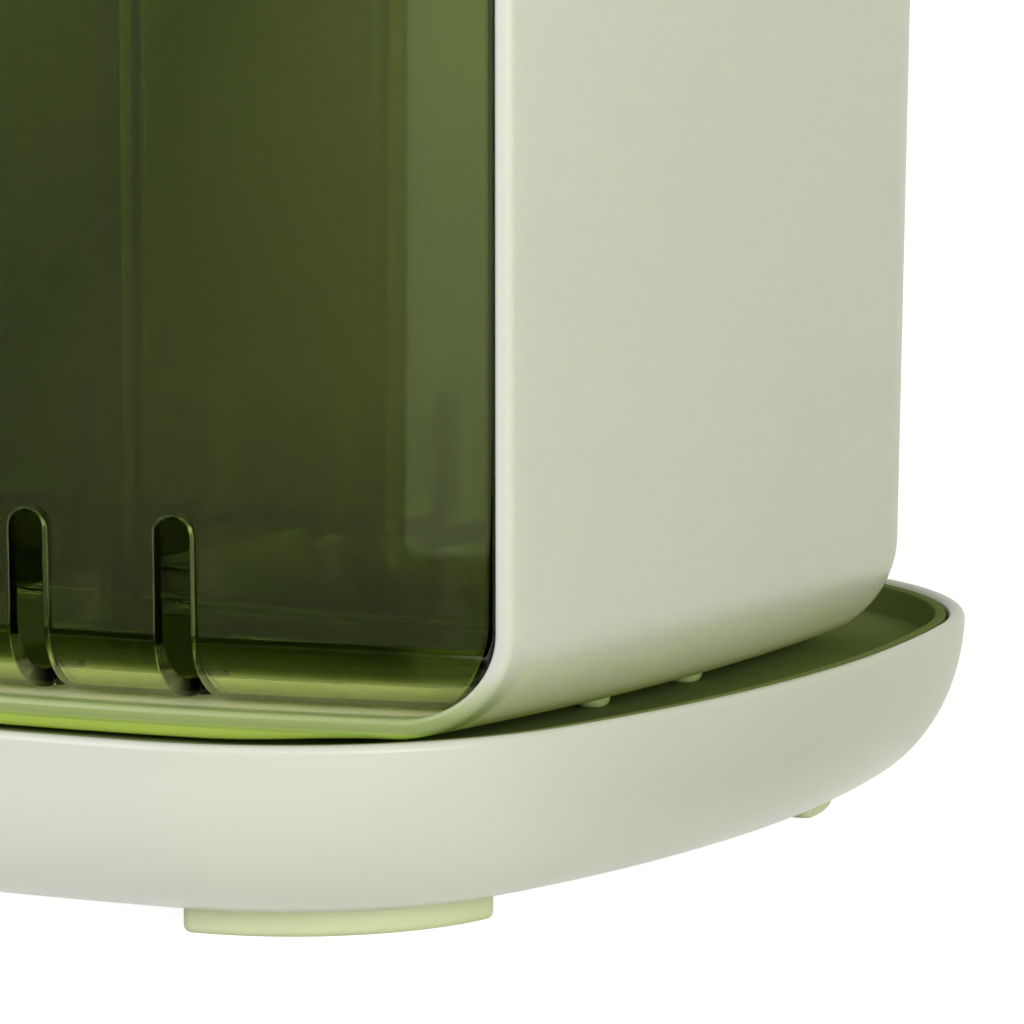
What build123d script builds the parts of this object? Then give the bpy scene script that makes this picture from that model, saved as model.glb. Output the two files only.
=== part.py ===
from build123d import *
from math import asin, atan2, cos, degrees, hypot, pi, radians, sin, sqrt, tan
import os

# Utensil holder with drain tray. Millimetres, origin on the table under the middle
# of the tray, +Z up, the open front of the holder faces -Y.

# Tray basin: a shallow dish with bowed sides and a quarter-ellipse wall
tray_half_width = 96.8
tray_half_depth = 82.6
tray_front_arc = 374.0
tray_side_arc = 191.0
tray_corner_radius = 44.5
tray_height = 21.4
tray_wall_inset = 16.9
tray_wall = 2.0
tray_floor = 2.2
tray_rim_round = 0.9
tray_wall_steps = 7

# Tray feet: one curved strip under each corner
foot_height = 3.0
foot_width = 5.0
foot_overhang = 0.6
foot_end_angle = 4.0
foot_edge_round = 0.8
foot_corner_round = 1.5

# Drain plate: drops into the basin and stands on its own legs
plate_drop = 4.0
plate_thickness = 1.8
plate_clearance = 0.35
plate_lip_width = 1.4
plate_lip_drop = 0.3
plate_leg_radius = 4.0
plate_leg_columns = 3
plate_leg_pitch_x = 60.0
plate_leg_offset_y = 43.0
plate_slot_length = 18.0
plate_slot_width = 3.6
plate_slot_columns = 5
plate_slot_rows = 3
plate_slot_pitch_x = 27.0
plate_slot_pitch_y = 27.0

# Holder shell: U-shaped front opening, closed back, wider towards the top
shell_pad_height = 1.6
shell_half_width = 87.1
shell_half_depth = 61.4
shell_front_arc = 238.0
shell_side_arc = 320.0
shell_rear_arc = 400.0
shell_rear_corner = 17.5
shell_side_draft = 0.65
shell_depth_draft = 1.1
shell_height = 138.0
shell_wall = 1.8
shell_floor = 2.3
shell_bottom_round = 12.3
shell_edge_round = 0.7

# Domed pads under the shell
pad_radius = 2.1
pad_from_side = 13.8
pad_offset_y = 10.75
pad_dome = 1.1

# Containers: two see-through bins, one in front of the other, that meet behind the middle
container_meet_y = 3.3
container_clearance = 0.35
container_setback = 0.8
container_gap = 1.0
container_wall = 1.8
container_floor = 2.2
container_proud = 4.0
container_front_bend = 8.0
container_rim_round = 0.6

# Drain slots that wrap round the container's bottom bend
wrap_slot_width = 4.3
wrap_slot_top = 46.1
wrap_slot_reach = 10.0
wrap_slot_pitch = 18.1
wrap_slots_per_half = 3

# Drain slots in the container floors, and under them in the shell floor
floor_slot_length = 13.4
floor_slot_width = 3.4
floor_slot_first = 10.7
floor_slot_pitch = 24.0
floor_slots_per_half = 3
floor_slot_offset_y = 23.0
wall_slot_length = 27.0
wall_slot_width = 2.4
wall_slot_centre_x = 22.3
wall_slot_gap = 0.8

# Removable dividers and the guide ribs that hold them
divider_thickness = 1.8
divider_clearance = 0.3
divider_drop = 8.0
divider_notch_height = 3.7
divider_notch_foot = 4.5
divider_corner_round = 8.0
rib_depth = 2.4
rib_thickness = 1.2
rib_drop = 3.0

# Levels worked out from the sizes above
tray_base = foot_height
tray_rim = tray_base + tray_height
plate_top = tray_rim - plate_drop
plate_under = plate_top - plate_thickness
shell_base = plate_top + shell_pad_height
shell_top = shell_base + shell_height
container_base = shell_base + shell_floor
container_bottom = container_base + container_floor
container_top = shell_top + container_proud
container_bottom_round = shell_bottom_round - shell_floor
divider_top = container_top - divider_drop
rib_height = container_top - rib_drop - container_bottom
rib_centre = divider_thickness / 2 + divider_clearance + rib_thickness / 2
pad_offset_x = shell_half_width - pad_from_side

# Lengths that cutting forms run past what they cut, and how near an edge lies to count
overrun = 1.0
beyond = 30.0
edge_tolerance = 0.02


def arcs_cross(half_width, half_depth, side_arc, end_arc, shrink=0.0):
    """Front point where the end arc meets the right side arc, both radii less shrink."""
    end_y = end_arc - half_depth
    side_x = half_width - side_arc
    to_end = end_arc - shrink
    to_side = side_arc - shrink
    apart = hypot(side_x, end_y)
    along = (to_end**2 - to_side**2 + apart**2) / (2 * apart)
    across = sqrt(to_end**2 - along**2)
    way_x = side_x / apart
    way_y = -end_y / apart
    return along * way_x - across * way_y, end_y + along * way_y + across * way_x


def tray_corner():
    """Centre of the tray's front right corner arc, tangent inside its neighbours."""
    return arcs_cross(tray_half_width, tray_half_depth, tray_side_arc, tray_front_arc, tray_corner_radius)


def tray_outline(inset):
    """Rounded outline of the tray, moved in by inset."""
    front_y = tray_front_arc - tray_half_depth
    side_x = tray_half_width - tray_side_arc
    corner_x, corner_y = tray_corner()
    front_turn = degrees(atan2(corner_x, front_y - corner_y))
    side_turn = degrees(atan2(-corner_y, corner_x - side_x))
    corner_turn = 90 - front_turn - side_turn
    corner_arc = tray_corner_radius - inset
    with BuildSketch() as outline:
        with BuildLine():
            for flip, turn in ((1, 0), (-1, 180)):
                front_arc = tray_front_arc - inset
                CenterArc((0, flip * front_y), front_arc, turn - 90 - front_turn, 2 * front_turn)
                CenterArc((flip * side_x, 0), tray_side_arc - inset, turn - side_turn, 2 * side_turn)
                near = (flip * corner_x, flip * corner_y)
                CenterArc(near, corner_arc, turn - 90 + front_turn, corner_turn)
                far = (flip * corner_x, -flip * corner_y)
                CenterArc(far, corner_arc, turn + side_turn, corner_turn)
        make_face()
    return outline.sketch


def wall_inset(depth, height):
    """How far the dish wall has curved in at this depth below the rim."""
    return tray_wall_inset * (1 - cos(asin(depth / height)))


def dish_levels(height):
    """Depths below the rim, from the bottom up, that follow the wall's quarter ellipse."""
    return [height * sin(pi / 2 * step / tray_wall_steps) for step in range(tray_wall_steps, -1, -1)]


def half_width_at(z):
    """Half of the shell's width at height z, at the middle of its sides."""
    return shell_half_width + tan(radians(shell_side_draft)) * (z - shell_base)


def half_depth_at(z):
    """Half of the shell's depth at height z, at the middle of its front."""
    return shell_half_depth + tan(radians(shell_depth_draft)) * (z - shell_base)


def bowed_plan(half_width, half_depth, inset, front=None):
    """Plan outline with bowed sides and back and rounded rear corners, moved in by inset.

    Its front is the shell's bowed front, or a straight line at the Y given as front.
    """
    width = half_width - inset
    depth = half_depth - inset
    side_arc = shell_side_arc - inset
    rear_arc = shell_rear_arc - inset
    corner = shell_rear_corner - inset
    side_x = width - side_arc
    rear_y = depth - rear_arc
    if front is None:
        end_x, end_y = arcs_cross(width, depth, side_arc, shell_front_arc - inset)
    else:
        end_x = side_x + sqrt(side_arc**2 - front**2)
        end_y = front
    corner_x, corner_y = arcs_cross(width, depth, side_arc, rear_arc, corner)
    corner_y = -corner_y
    first_turn = degrees(atan2(end_y, end_x - side_x))
    side_turn = degrees(atan2(corner_y, corner_x - side_x))
    rear_turn = degrees(atan2(corner_y - rear_y, corner_x))
    with BuildSketch() as plan:
        with BuildLine():
            if front is None:
                ThreePointArc((-end_x, end_y), (0, -depth), (end_x, end_y))
            else:
                Line((-end_x, end_y), (end_x, end_y))
            CenterArc((side_x, 0), side_arc, first_turn, side_turn - first_turn)
            CenterArc((corner_x, corner_y), corner, side_turn, rear_turn - side_turn)
            CenterArc((0, rear_y), rear_arc, rear_turn, 180 - 2 * rear_turn)
            CenterArc((-corner_x, corner_y), corner, 180 - rear_turn, rear_turn - side_turn)
            CenterArc((-side_x, 0), side_arc, 180 - side_turn, side_turn - first_turn)
        make_face()
    return plan.sketch


def bow_at(x):
    """How far the bowed front falls back at this distance from the middle."""
    return shell_front_arc - sqrt(shell_front_arc**2 - x**2)


def shell_plan(z):
    """Plan of the shell's outside at height z."""
    return bowed_plan(half_width_at(z), half_depth_at(z), 0)


def shell_hollow_plan(z):
    """Plan of the shell's hollow, which runs out through the open front."""
    return bowed_plan(half_width_at(z), half_depth_at(z), shell_wall, -half_depth_at(z) - overrun)


def rear_container_plan(z, inset):
    """Plan of the rear container, moved in by inset."""
    front = container_meet_y + container_gap / 2 + inset
    return bowed_plan(half_width_at(z), half_depth_at(z), shell_wall + container_clearance + inset, front)


def front_container_plan(z, inset):
    """Bowed front and straight back of the front container, wider than its sides."""
    width = half_width_at(z)
    arc = shell_front_arc - container_setback - inset
    front = container_setback + inset - half_depth_at(z)
    back = container_meet_y - container_gap / 2 - inset
    side_y = front + arc - sqrt(arc**2 - width**2)
    with BuildSketch() as plan:
        with BuildLine():
            ThreePointArc((-width, side_y), (0, front), (width, side_y))
            Line((width, side_y), (width, back))
            Line((width, back), (-width, back))
            Line((-width, back), (-width, side_y))
        make_face()
    return plan.sketch


def front_container_sides(z, inset):
    """Plan between the front container's bowed sides, longer than it is deep."""
    gap = shell_wall + container_clearance + inset
    width = half_width_at(z) - gap
    side_arc = shell_side_arc - gap
    reach = half_depth_at(z) + overrun
    end_x = width - side_arc + sqrt(side_arc**2 - reach**2)
    with BuildSketch() as plan:
        with BuildLine():
            ThreePointArc((end_x, -reach), (width, 0), (end_x, reach))
            Line((end_x, reach), (-end_x, reach))
            ThreePointArc((-end_x, reach), (-width, 0), (-end_x, -reach))
            Line((-end_x, -reach), (end_x, -reach))
        make_face()
    return plan.sketch


def on_open_edge(edge):
    """True for the shell's edges that lie on its bowed front or on its top."""
    ends = [edge @ step for step in (0, 0.5, 1)]
    if all(abs(point.Z - shell_top) < edge_tolerance for point in ends):
        return True
    return all(abs(point.Y + half_depth_at(point.Z) - bow_at(point.X)) < edge_tolerance for point in ends)


def floor_slot_centres():
    """X of the drain slots in one row, both halves."""
    right = [floor_slot_first + floor_slot_pitch * i for i in range(floor_slots_per_half)]
    return [side * x for side in (-1, 1) for x in right]


def wrap_slot_centres():
    """X of the slots that wrap round the bend, both halves."""
    right = [wrap_slot_pitch * (i + 0.5) for i in range(wrap_slots_per_half)]
    return [side * x for side in (-1, 1) for x in right]


def floor_slots(side_y):
    """Drain slots of one container's floor: a row across it and two along the mid wall."""
    from_wall = container_gap / 2 + container_wall + wall_slot_gap + wall_slot_width / 2
    wall_y = container_meet_y + side_y * from_wall
    row_y = container_meet_y + side_y * floor_slot_offset_y
    with BuildSketch() as slots:
        with Locations(*[(x, row_y) for x in floor_slot_centres()]):
            SlotOverall(floor_slot_length, floor_slot_width)
        with Locations(*[(x, wall_y) for x in (-wall_slot_centre_x, wall_slot_centre_x)]):
            SlotOverall(wall_slot_length, wall_slot_width)
    return slots.sketch


# Outer form of the tray, for the basin and for the feet that fit under it
with BuildPart() as tray_form:
    for depth in dish_levels(tray_height):
        with BuildSketch(Plane.XY.offset(tray_rim - depth)):
            add(tray_outline(wall_inset(depth, tray_height)))
    loft()

# Tray basin
hollow_height = tray_height - tray_floor
with BuildPart() as tray_basin:
    add(tray_form.part)
    for depth in dish_levels(hollow_height):
        with BuildSketch(Plane.XY.offset(tray_rim - depth)):
            add(tray_outline(tray_wall + wall_inset(depth, hollow_height)))
    loft(mode=Mode.SUBTRACT)
    fillet(tray_basin.edges().group_by(Axis.Z)[-1], radius=tray_rim_round)

# Feet, one curved strip round each corner's centre, set against the tray's underside
corner_x, corner_y = tray_corner()
foot_outer = tray_corner_radius - tray_wall_inset + foot_overhang
foot_turn = 90 - 2 * foot_end_angle
feet = {}
for foot_name, foot_x, foot_y, first_turn in (
    ("foot_front_right", corner_x, corner_y, 270),
    ("foot_front_left", -corner_x, corner_y, 180),
    ("foot_rear_right", corner_x, -corner_y, 0),
    ("foot_rear_left", -corner_x, -corner_y, 90),
):
    with BuildPart() as foot:
        with BuildSketch(Plane((foot_x, foot_y, 0))) as strip:
            with BuildLine():
                outer = CenterArc((0, 0), foot_outer, first_turn + foot_end_angle, foot_turn)
                inner = CenterArc((0, 0), foot_outer - foot_width, first_turn + foot_end_angle, foot_turn)
                Line(outer @ 0, inner @ 0)
                Line(outer @ 1, inner @ 1)
            make_face()
            fillet(strip.vertices(), radius=foot_corner_round)
        extrude(amount=foot_height + tray_floor / 2)
        fillet(foot.edges().group_by(Axis.Z)[0], radius=foot_edge_round)
        add(tray_form.part, mode=Mode.SUBTRACT)
    feet[foot_name] = foot

# Drain plate
plate_inset = tray_wall + plate_clearance
lip_top = tray_rim - plate_lip_drop
with BuildPart() as drain_plate:
    for level in (plate_under, lip_top):
        with BuildSketch(Plane.XY.offset(level)):
            add(tray_outline(plate_inset + wall_inset(tray_rim - level, hollow_height)))
    loft(ruled=True)
    for level in (plate_top, lip_top):
        with BuildSketch(Plane.XY.offset(level)):
            add(tray_outline(plate_inset + plate_lip_width + wall_inset(tray_rim - level, hollow_height)))
    loft(ruled=True, mode=Mode.SUBTRACT)
    with BuildSketch(Plane.XY.offset(plate_under)):
        with GridLocations(plate_leg_pitch_x, 2 * plate_leg_offset_y, plate_leg_columns, 2):
            Circle(plate_leg_radius)
    extrude(amount=tray_base + tray_floor - plate_under)
    with BuildSketch(Plane.XY.offset(plate_top)):
        with GridLocations(plate_slot_pitch_x, plate_slot_pitch_y, plate_slot_columns, plate_slot_rows):
            SlotOverall(plate_slot_length, plate_slot_width)
    extrude(amount=-plate_thickness, mode=Mode.SUBTRACT)

# Outer form of the shell, for the shell and for the pads under it
with BuildPart() as shell_form:
    for level in (shell_base, shell_top):
        with BuildSketch(Plane.XY.offset(level)):
            add(shell_plan(level))
    loft(ruled=True)
    bottom_edges = shell_form.edges().group_by(Axis.Z)[0].sort_by(Axis.Y)
    fillet(bottom_edges[1:], radius=shell_bottom_round)

with BuildPart() as shell_hollow:
    for level in (container_base, shell_top):
        with BuildSketch(Plane.XY.offset(level)):
            add(shell_hollow_plan(level))
    loft(ruled=True)
    fillet(shell_hollow.edges().group_by(Axis.Z)[0].sort_by(Axis.Y)[1:], radius=container_bottom_round)

# Holder shell
with BuildPart() as holder_shell:
    add(shell_form.part)
    add(shell_hollow.part, mode=Mode.SUBTRACT)
    for side_y in (-1, 1):
        with BuildSketch(Plane.XY.offset(container_base)):
            add(floor_slots(side_y))
        extrude(amount=-shell_floor, mode=Mode.SUBTRACT)
    fillet([e for e in holder_shell.edges() if on_open_edge(e)], radius=shell_edge_round)

# Domed pads between the shell and the drain plate
pads = {}
for pad_name, side_x, side_y in (
    ("shell_pad_front_right", 1, -1),
    ("shell_pad_front_left", -1, -1),
    ("shell_pad_rear_right", 1, 1),
    ("shell_pad_rear_left", -1, 1),
):
    with BuildPart() as pad:
        with BuildSketch(Plane((side_x * pad_offset_x, side_y * pad_offset_y, plate_top))):
            Circle(pad_radius)
        extrude(amount=shell_pad_height + shell_floor / 2)
        fillet(pad.edges().group_by(Axis.Z)[0], radius=pad_dome)
        add(shell_form.part, mode=Mode.SUBTRACT)
    pads[pad_name] = pad

# Front container: its outside, then its hollow, each a bowed front cut to bowed sides
with BuildPart() as front_form_sides:
    for level in (container_base, container_top):
        with BuildSketch(Plane.XY.offset(level)):
            add(front_container_sides(level, 0))
    loft(ruled=True)
    fillet(front_form_sides.edges().group_by(Axis.Z)[0].group_by(Axis.Y)[1], radius=container_bottom_round)

with BuildPart() as front_form:
    for level in (container_base, container_top):
        with BuildSketch(Plane.XY.offset(level)):
            add(front_container_plan(level, 0))
    loft(ruled=True)
    fillet(front_form.edges().group_by(Axis.Z)[0].sort_by(Axis.Y)[0], radius=container_front_bend)
    add(front_form_sides.part, mode=Mode.INTERSECT)

with BuildPart() as front_hollow_sides:
    for level in (container_bottom, container_top):
        with BuildSketch(Plane.XY.offset(level)):
            add(front_container_sides(level, container_wall))
    loft(ruled=True)
    low_sides = front_hollow_sides.edges().group_by(Axis.Z)[0].group_by(Axis.Y)[1]
    fillet(low_sides, radius=container_bottom_round - container_wall)

with BuildPart() as front_hollow:
    for level in (container_bottom, container_top):
        with BuildSketch(Plane.XY.offset(level)):
            add(front_container_plan(level, container_wall))
    loft(ruled=True)
    low_front = front_hollow.edges().group_by(Axis.Z)[0].sort_by(Axis.Y)[0]
    fillet(low_front, radius=container_front_bend - container_wall)
    add(front_hollow_sides.part, mode=Mode.INTERSECT)

# Slots that run down the front, round the bend and onto the floor
wrap_round = wrap_slot_width / 2
with BuildPart() as wrap_slots:
    with BuildSketch(Plane.XZ):
        with Locations(*[(x, wrap_slot_top - wrap_round) for x in wrap_slot_centres()]):
            Circle(wrap_round)
            Rectangle(wrap_slot_width, wrap_slot_top, align=(Align.CENTER, Align.MAX))
    extrude(amount=shell_half_depth + beyond)
    with BuildSketch(Plane.XY):
        front = container_setback - half_depth_at(container_base) + wrap_slot_reach - wrap_round
        with Locations(*[(x, front + bow_at(x)) for x in wrap_slot_centres()]):
            Circle(wrap_round)
            Rectangle(wrap_slot_width, beyond, align=(Align.CENTER, Align.MAX))
    extrude(amount=container_top, mode=Mode.INTERSECT)

# Guide ribs, two on each long wall of a container, with the divider between them
with BuildPart() as front_ribs:
    add(front_hollow.part)
    for level in (container_bottom, container_top):
        with BuildSketch(Plane.XY.offset(level)):
            add(front_container_plan(level, container_wall + rib_depth))
    loft(ruled=True, mode=Mode.SUBTRACT)
    with BuildSketch(Plane.XZ):
        with Locations(*[(x, container_bottom) for x in (-rib_centre, rib_centre)]):
            Rectangle(rib_thickness, rib_height, align=(Align.CENTER, Align.MIN))
    extrude(amount=shell_half_depth + beyond, both=True, mode=Mode.INTERSECT)

with BuildPart() as front_container:
    add(front_form.part)
    add(front_hollow.part, mode=Mode.SUBTRACT)
    fillet(front_container.edges().group_by(Axis.Z)[-1], radius=container_rim_round)
    add(front_ribs.part)
    add(wrap_slots.part, mode=Mode.SUBTRACT)
    with BuildSketch(Plane.XY.offset(container_bottom)):
        add(floor_slots(-1))
    extrude(amount=-container_floor, mode=Mode.SUBTRACT)

# Rear container: straight front against the mid wall, rounded rear corners
with BuildPart() as rear_form:
    for level in (container_base, container_top):
        with BuildSketch(Plane.XY.offset(level)):
            add(rear_container_plan(level, 0))
    loft(ruled=True)
    fillet(rear_form.edges().group_by(Axis.Z)[0].sort_by(Axis.Y)[1:], radius=container_bottom_round)

with BuildPart() as rear_hollow:
    for level in (container_bottom, container_top):
        with BuildSketch(Plane.XY.offset(level)):
            add(rear_container_plan(level, container_wall))
    loft(ruled=True)
    round_inside = container_bottom_round - container_wall
    fillet(rear_hollow.edges().group_by(Axis.Z)[0].sort_by(Axis.Y)[1:], radius=round_inside)

with BuildPart() as rear_ribs:
    add(rear_hollow.part)
    for level in (container_bottom, container_top):
        with BuildSketch(Plane.XY.offset(level)):
            add(rear_container_plan(level, container_wall + rib_depth))
    loft(ruled=True, mode=Mode.SUBTRACT)
    with BuildSketch(Plane.XZ):
        with Locations(*[(x, container_bottom) for x in (-rib_centre, rib_centre)]):
            Rectangle(rib_thickness, rib_height, align=(Align.CENTER, Align.MIN))
    extrude(amount=shell_half_depth + beyond, both=True, mode=Mode.INTERSECT)

with BuildPart() as rear_container:
    add(rear_form.part)
    add(rear_hollow.part, mode=Mode.SUBTRACT)
    fillet(rear_container.edges().group_by(Axis.Z)[-1], radius=container_rim_round)
    add(rear_ribs.part)
    with BuildSketch(Plane.XY.offset(container_bottom)):
        add(floor_slots(1))
    extrude(amount=-container_floor, mode=Mode.SUBTRACT)

# Dividers: a plate with rounded top corners and a drain notch along its foot
dividers = {}
for divider_name, side_y, far_gap, far_bend in (
    ("front_divider", -1, container_setback, container_front_bend - container_wall),
    ("rear_divider", 1, shell_wall + container_clearance, container_bottom_round - container_wall),
):
    near = container_meet_y + side_y * (container_gap / 2 + container_wall + divider_clearance)
    far_inset = far_gap + container_wall + divider_clearance
    far_low = side_y * (half_depth_at(container_bottom) - far_inset)
    far_high = side_y * (half_depth_at(divider_top) - far_inset)
    with BuildPart() as divider:
        with BuildSketch(Plane.YZ) as outline:
            with BuildLine():
                Polyline(
                    (near, container_bottom),
                    (far_low, container_bottom),
                    (far_high, divider_top),
                    (near, divider_top),
                    close=True,
                )
            make_face()
            low_far = outline.vertices().group_by(Axis.Y)[0].sort_by(Axis.X)[0 if side_y < 0 else -1]
            fillet(low_far, radius=far_bend)
            fillet(outline.vertices().group_by(Axis.Y)[-1], radius=divider_corner_round)
            notch_near = near + side_y * divider_notch_foot
            notch_far = far_low - side_y * (far_bend + divider_notch_foot)
            with Locations(((notch_near + notch_far) / 2, container_bottom)):
                notch_length = abs(notch_far - notch_near)
                Rectangle(notch_length, 2 * divider_notch_height, mode=Mode.SUBTRACT)
        extrude(amount=divider_thickness / 2, both=True)
    dividers[divider_name] = divider

pieces = {
    "tray_basin": tray_basin,
    **feet,
    "drain_plate": drain_plate,
    "holder_shell": holder_shell,
    **pads,
    "front_container": front_container,
    "rear_container": rear_container,
    **dividers,
}

os.makedirs("parts", exist_ok=True)
for piece_name, piece in pieces.items():
    piece.part.label = piece_name
    export_step(piece.part, f"parts/{piece_name}.step")
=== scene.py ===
import math

import bpy
import numpy as np
from mathutils import Matrix, Vector
from mathutils.geometry import delaunay_2d_cdt
from mathutils.kdtree import KDTree


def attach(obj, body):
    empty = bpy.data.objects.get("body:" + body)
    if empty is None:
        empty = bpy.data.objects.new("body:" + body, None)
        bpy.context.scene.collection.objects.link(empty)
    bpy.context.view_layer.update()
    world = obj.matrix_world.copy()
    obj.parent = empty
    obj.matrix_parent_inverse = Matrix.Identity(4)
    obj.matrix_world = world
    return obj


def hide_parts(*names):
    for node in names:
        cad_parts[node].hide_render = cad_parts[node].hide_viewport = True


# Utensil holder with drain tray. Metres, origin on the table under the middle of the
# tray, +Z up, the open front of the holder faces -Y.

# The corners' sides of X and Y
CORNERS = (("front_right", 1, -1), ("front_left", -1, -1), ("rear_right", 1, 1), ("rear_left", -1, 1))

# Tray basin
TRAY_HALF_WIDTH = 0.0968
TRAY_HALF_DEPTH = 0.0826
TRAY_FRONT_ARC = 0.374
TRAY_SIDE_ARC = 0.191
TRAY_CORNER = 0.0445
TRAY_HEIGHT = 0.0214
TRAY_WALL_INSET = 0.0169
TRAY_WALL = 0.0020
TRAY_FLOOR = 0.0022
TRAY_RIM_ROUND = 0.0009
TRAY_SKIN = 0.00003

# Feet
FOOT_HEIGHT = 0.0030
FOOT_WIDTH = 0.0050
FOOT_OVERHANG = 0.0006
FOOT_END_ANGLE = math.radians(4.0)
FOOT_EDGE_ROUND = 0.0008
FOOT_CORNER_ROUND = 0.0015
FOOT_LEAST_ROUND = 0.0003
FOOT_TOP = FOOT_HEIGHT + TRAY_FLOOR / 2

# Drain plate
PLATE_DROP = 0.0040
PLATE_THICKNESS = 0.0018
PLATE_CLEARANCE = 0.00035
PLATE_ROUND = 0.0003
LIP_WIDTH = 0.0014
LIP_DROP = 0.0003
LEG_RADIUS = 0.0040
LEG_X = (-0.060, 0.0, 0.060)
LEG_Y = (-0.043, 0.043)
PLATE_SLOT = (0.0180, 0.0036)
PLATE_SLOT_X = (-0.054, -0.027, 0.0, 0.027, 0.054)
PLATE_SLOT_Y = (-0.027, 0.0, 0.027)

# Holder shell
PAD_HEIGHT = 0.0016
PAD_RADIUS = 0.0021
PAD_X = 0.0733
PAD_Y = 0.01075
PAD_DOME = 0.0011
SHELL_HALF_WIDTH = 0.0871
SHELL_HALF_DEPTH = 0.0614
SHELL_FRONT_ARC = 0.238
SHELL_SIDE_ARC = 0.320
SHELL_REAR_ARC = 0.400
SHELL_CORNER = 0.0175
SIDE_SLOPE = math.tan(math.radians(0.65))
DEPTH_SLOPE = math.tan(math.radians(1.1))
SHELL_HEIGHT = 0.138
SHELL_WALL = 0.0018
SHELL_FLOOR = 0.0023
SHELL_BOTTOM_ROUND = 0.0123
SHELL_EDGE_ROUND = 0.0007
BEAD_DEPTH = 0.0018
BEAD_BACK = 0.00005
BEAD_DROP = 0.0010
BEAD_TAPER = 0.022

# Bins
MEET_Y = 0.0033
BIN_CLEARANCE = 0.00035
BIN_SETBACK = 0.0008
BIN_GAP = 0.0010
BIN_WALL = 0.0018
BIN_FLOOR = 0.0022
BIN_PROUD = 0.0040
BIN_FRONT_BEND = 0.0080
BIN_EDGE_BEND = 0.0009
BIN_CORNER = 0.0010
BIN_INNER_BEND = 0.0004
BIN_INNER_CORNER = 0.0005
BIN_RIM_ROUND = 0.0006
SEAT_GAP = 0.00004

# Drain slots
WRAP_WIDTH = 0.0043
WRAP_TOP = 0.0461
WRAP_REACH = 0.0100
WRAP_X = tuple(side * 0.0181 * (i + 0.5) for side in (-1, 1) for i in range(3))
SLOT_ROUND = 0.00025
FLOOR_SLOT = (0.0134, 0.0034)
FLOOR_SLOT_X = tuple(side * (0.0107 + 0.0240 * i) for side in (-1, 1) for i in range(3))
FLOOR_SLOT_OFFSET = 0.0230
WALL_SLOT = (0.0270, 0.0024)
WALL_SLOT_X = (-0.0223, 0.0223)
WALL_SLOT_GAP = 0.0008

# Dividers and ribs
DIVIDER_THICKNESS = 0.0018
DIVIDER_CLEARANCE = 0.0003
DIVIDER_DROP = 0.0080
NOTCH_HEIGHT = 0.0037
NOTCH_FOOT = 0.0045
DIVIDER_CORNER = 0.0080
DIVIDER_ROUND = 0.0005
FOOT_ROUND = 0.0006
RIB_DEPTH = 0.0024
RIB_THICKNESS = 0.0012
RIB_DROP = 0.0030
RIB_SIDE = 0.0001

# Levels
TRAY_BASE = FOOT_HEIGHT
TRAY_RIM = TRAY_BASE + TRAY_HEIGHT
HOLLOW_HEIGHT = TRAY_HEIGHT - TRAY_FLOOR
PLATE_TOP = TRAY_RIM - PLATE_DROP
PLATE_UNDER = PLATE_TOP - PLATE_THICKNESS
SHELL_BASE = PLATE_TOP + PAD_HEIGHT
SHELL_TOP = SHELL_BASE + SHELL_HEIGHT
BIN_BASE = SHELL_BASE + SHELL_FLOOR
BIN_BOTTOM = BIN_BASE + BIN_FLOOR
BIN_TOP = SHELL_TOP + BIN_PROUD
BIN_ROUND = SHELL_BOTTOM_ROUND - SHELL_FLOOR
DIVIDER_TOP = BIN_TOP - DIVIDER_DROP
RIB_TOP = BIN_TOP - RIB_DROP
RIB_CENTRE = DIVIDER_THICKNESS / 2 + DIVIDER_CLEARANCE + RIB_THICKNESS / 2

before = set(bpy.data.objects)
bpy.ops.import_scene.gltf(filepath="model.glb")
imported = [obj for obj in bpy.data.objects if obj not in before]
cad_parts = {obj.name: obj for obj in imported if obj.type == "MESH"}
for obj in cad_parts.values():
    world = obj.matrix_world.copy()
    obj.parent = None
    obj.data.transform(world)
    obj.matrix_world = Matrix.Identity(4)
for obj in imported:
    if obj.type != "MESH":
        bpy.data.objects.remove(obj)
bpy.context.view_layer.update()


# Meshes from surfaces: each face corner takes its normal from just inside its own face
MERGE = 2e-6
TOWARDS_MIDDLE = 0.06
STEP_SHARE = 0.01
WEAK_NORMAL = 0.5
FRONT_STEPS = 61
BEAD_STEPS = 81
BEAD_SIDES = 24
BIN_FRONT_STEPS = 59
GRID_HALF = 0.087
GRID_ACROSS = 0.003
GRID_START = 0.004
GRID_END = 0.002
GRID_UP = 0.006
GRID_BACK = 0.005
GRID_GAP = 0.0009
MILLIMETRES = 1000


def unit(v):
    """Vectors scaled to length one."""
    return v / np.maximum(np.linalg.norm(v, axis=-1, keepdims=True), 1e-12)


def xyz(x, y, z):
    """Points in space from their coordinates. A coordinate may be one number for all."""
    return np.stack(np.broadcast_arrays(x, y, z), axis=-1)


def ring(rows):
    """A grid of points with each row joined up, and the way along its rows."""
    rows = np.concatenate([rows, rows[:, :1]], axis=1)
    way = np.gradient(rows, axis=1)
    way[:, 0] = way[:, -1] = rows[:, 1] - rows[:, -2]
    return rows, way


def placed(name, data):
    """A new object in the scene."""
    thing = bpy.data.objects.new(name, data)
    bpy.context.scene.collection.objects.link(thing)
    return thing


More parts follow.
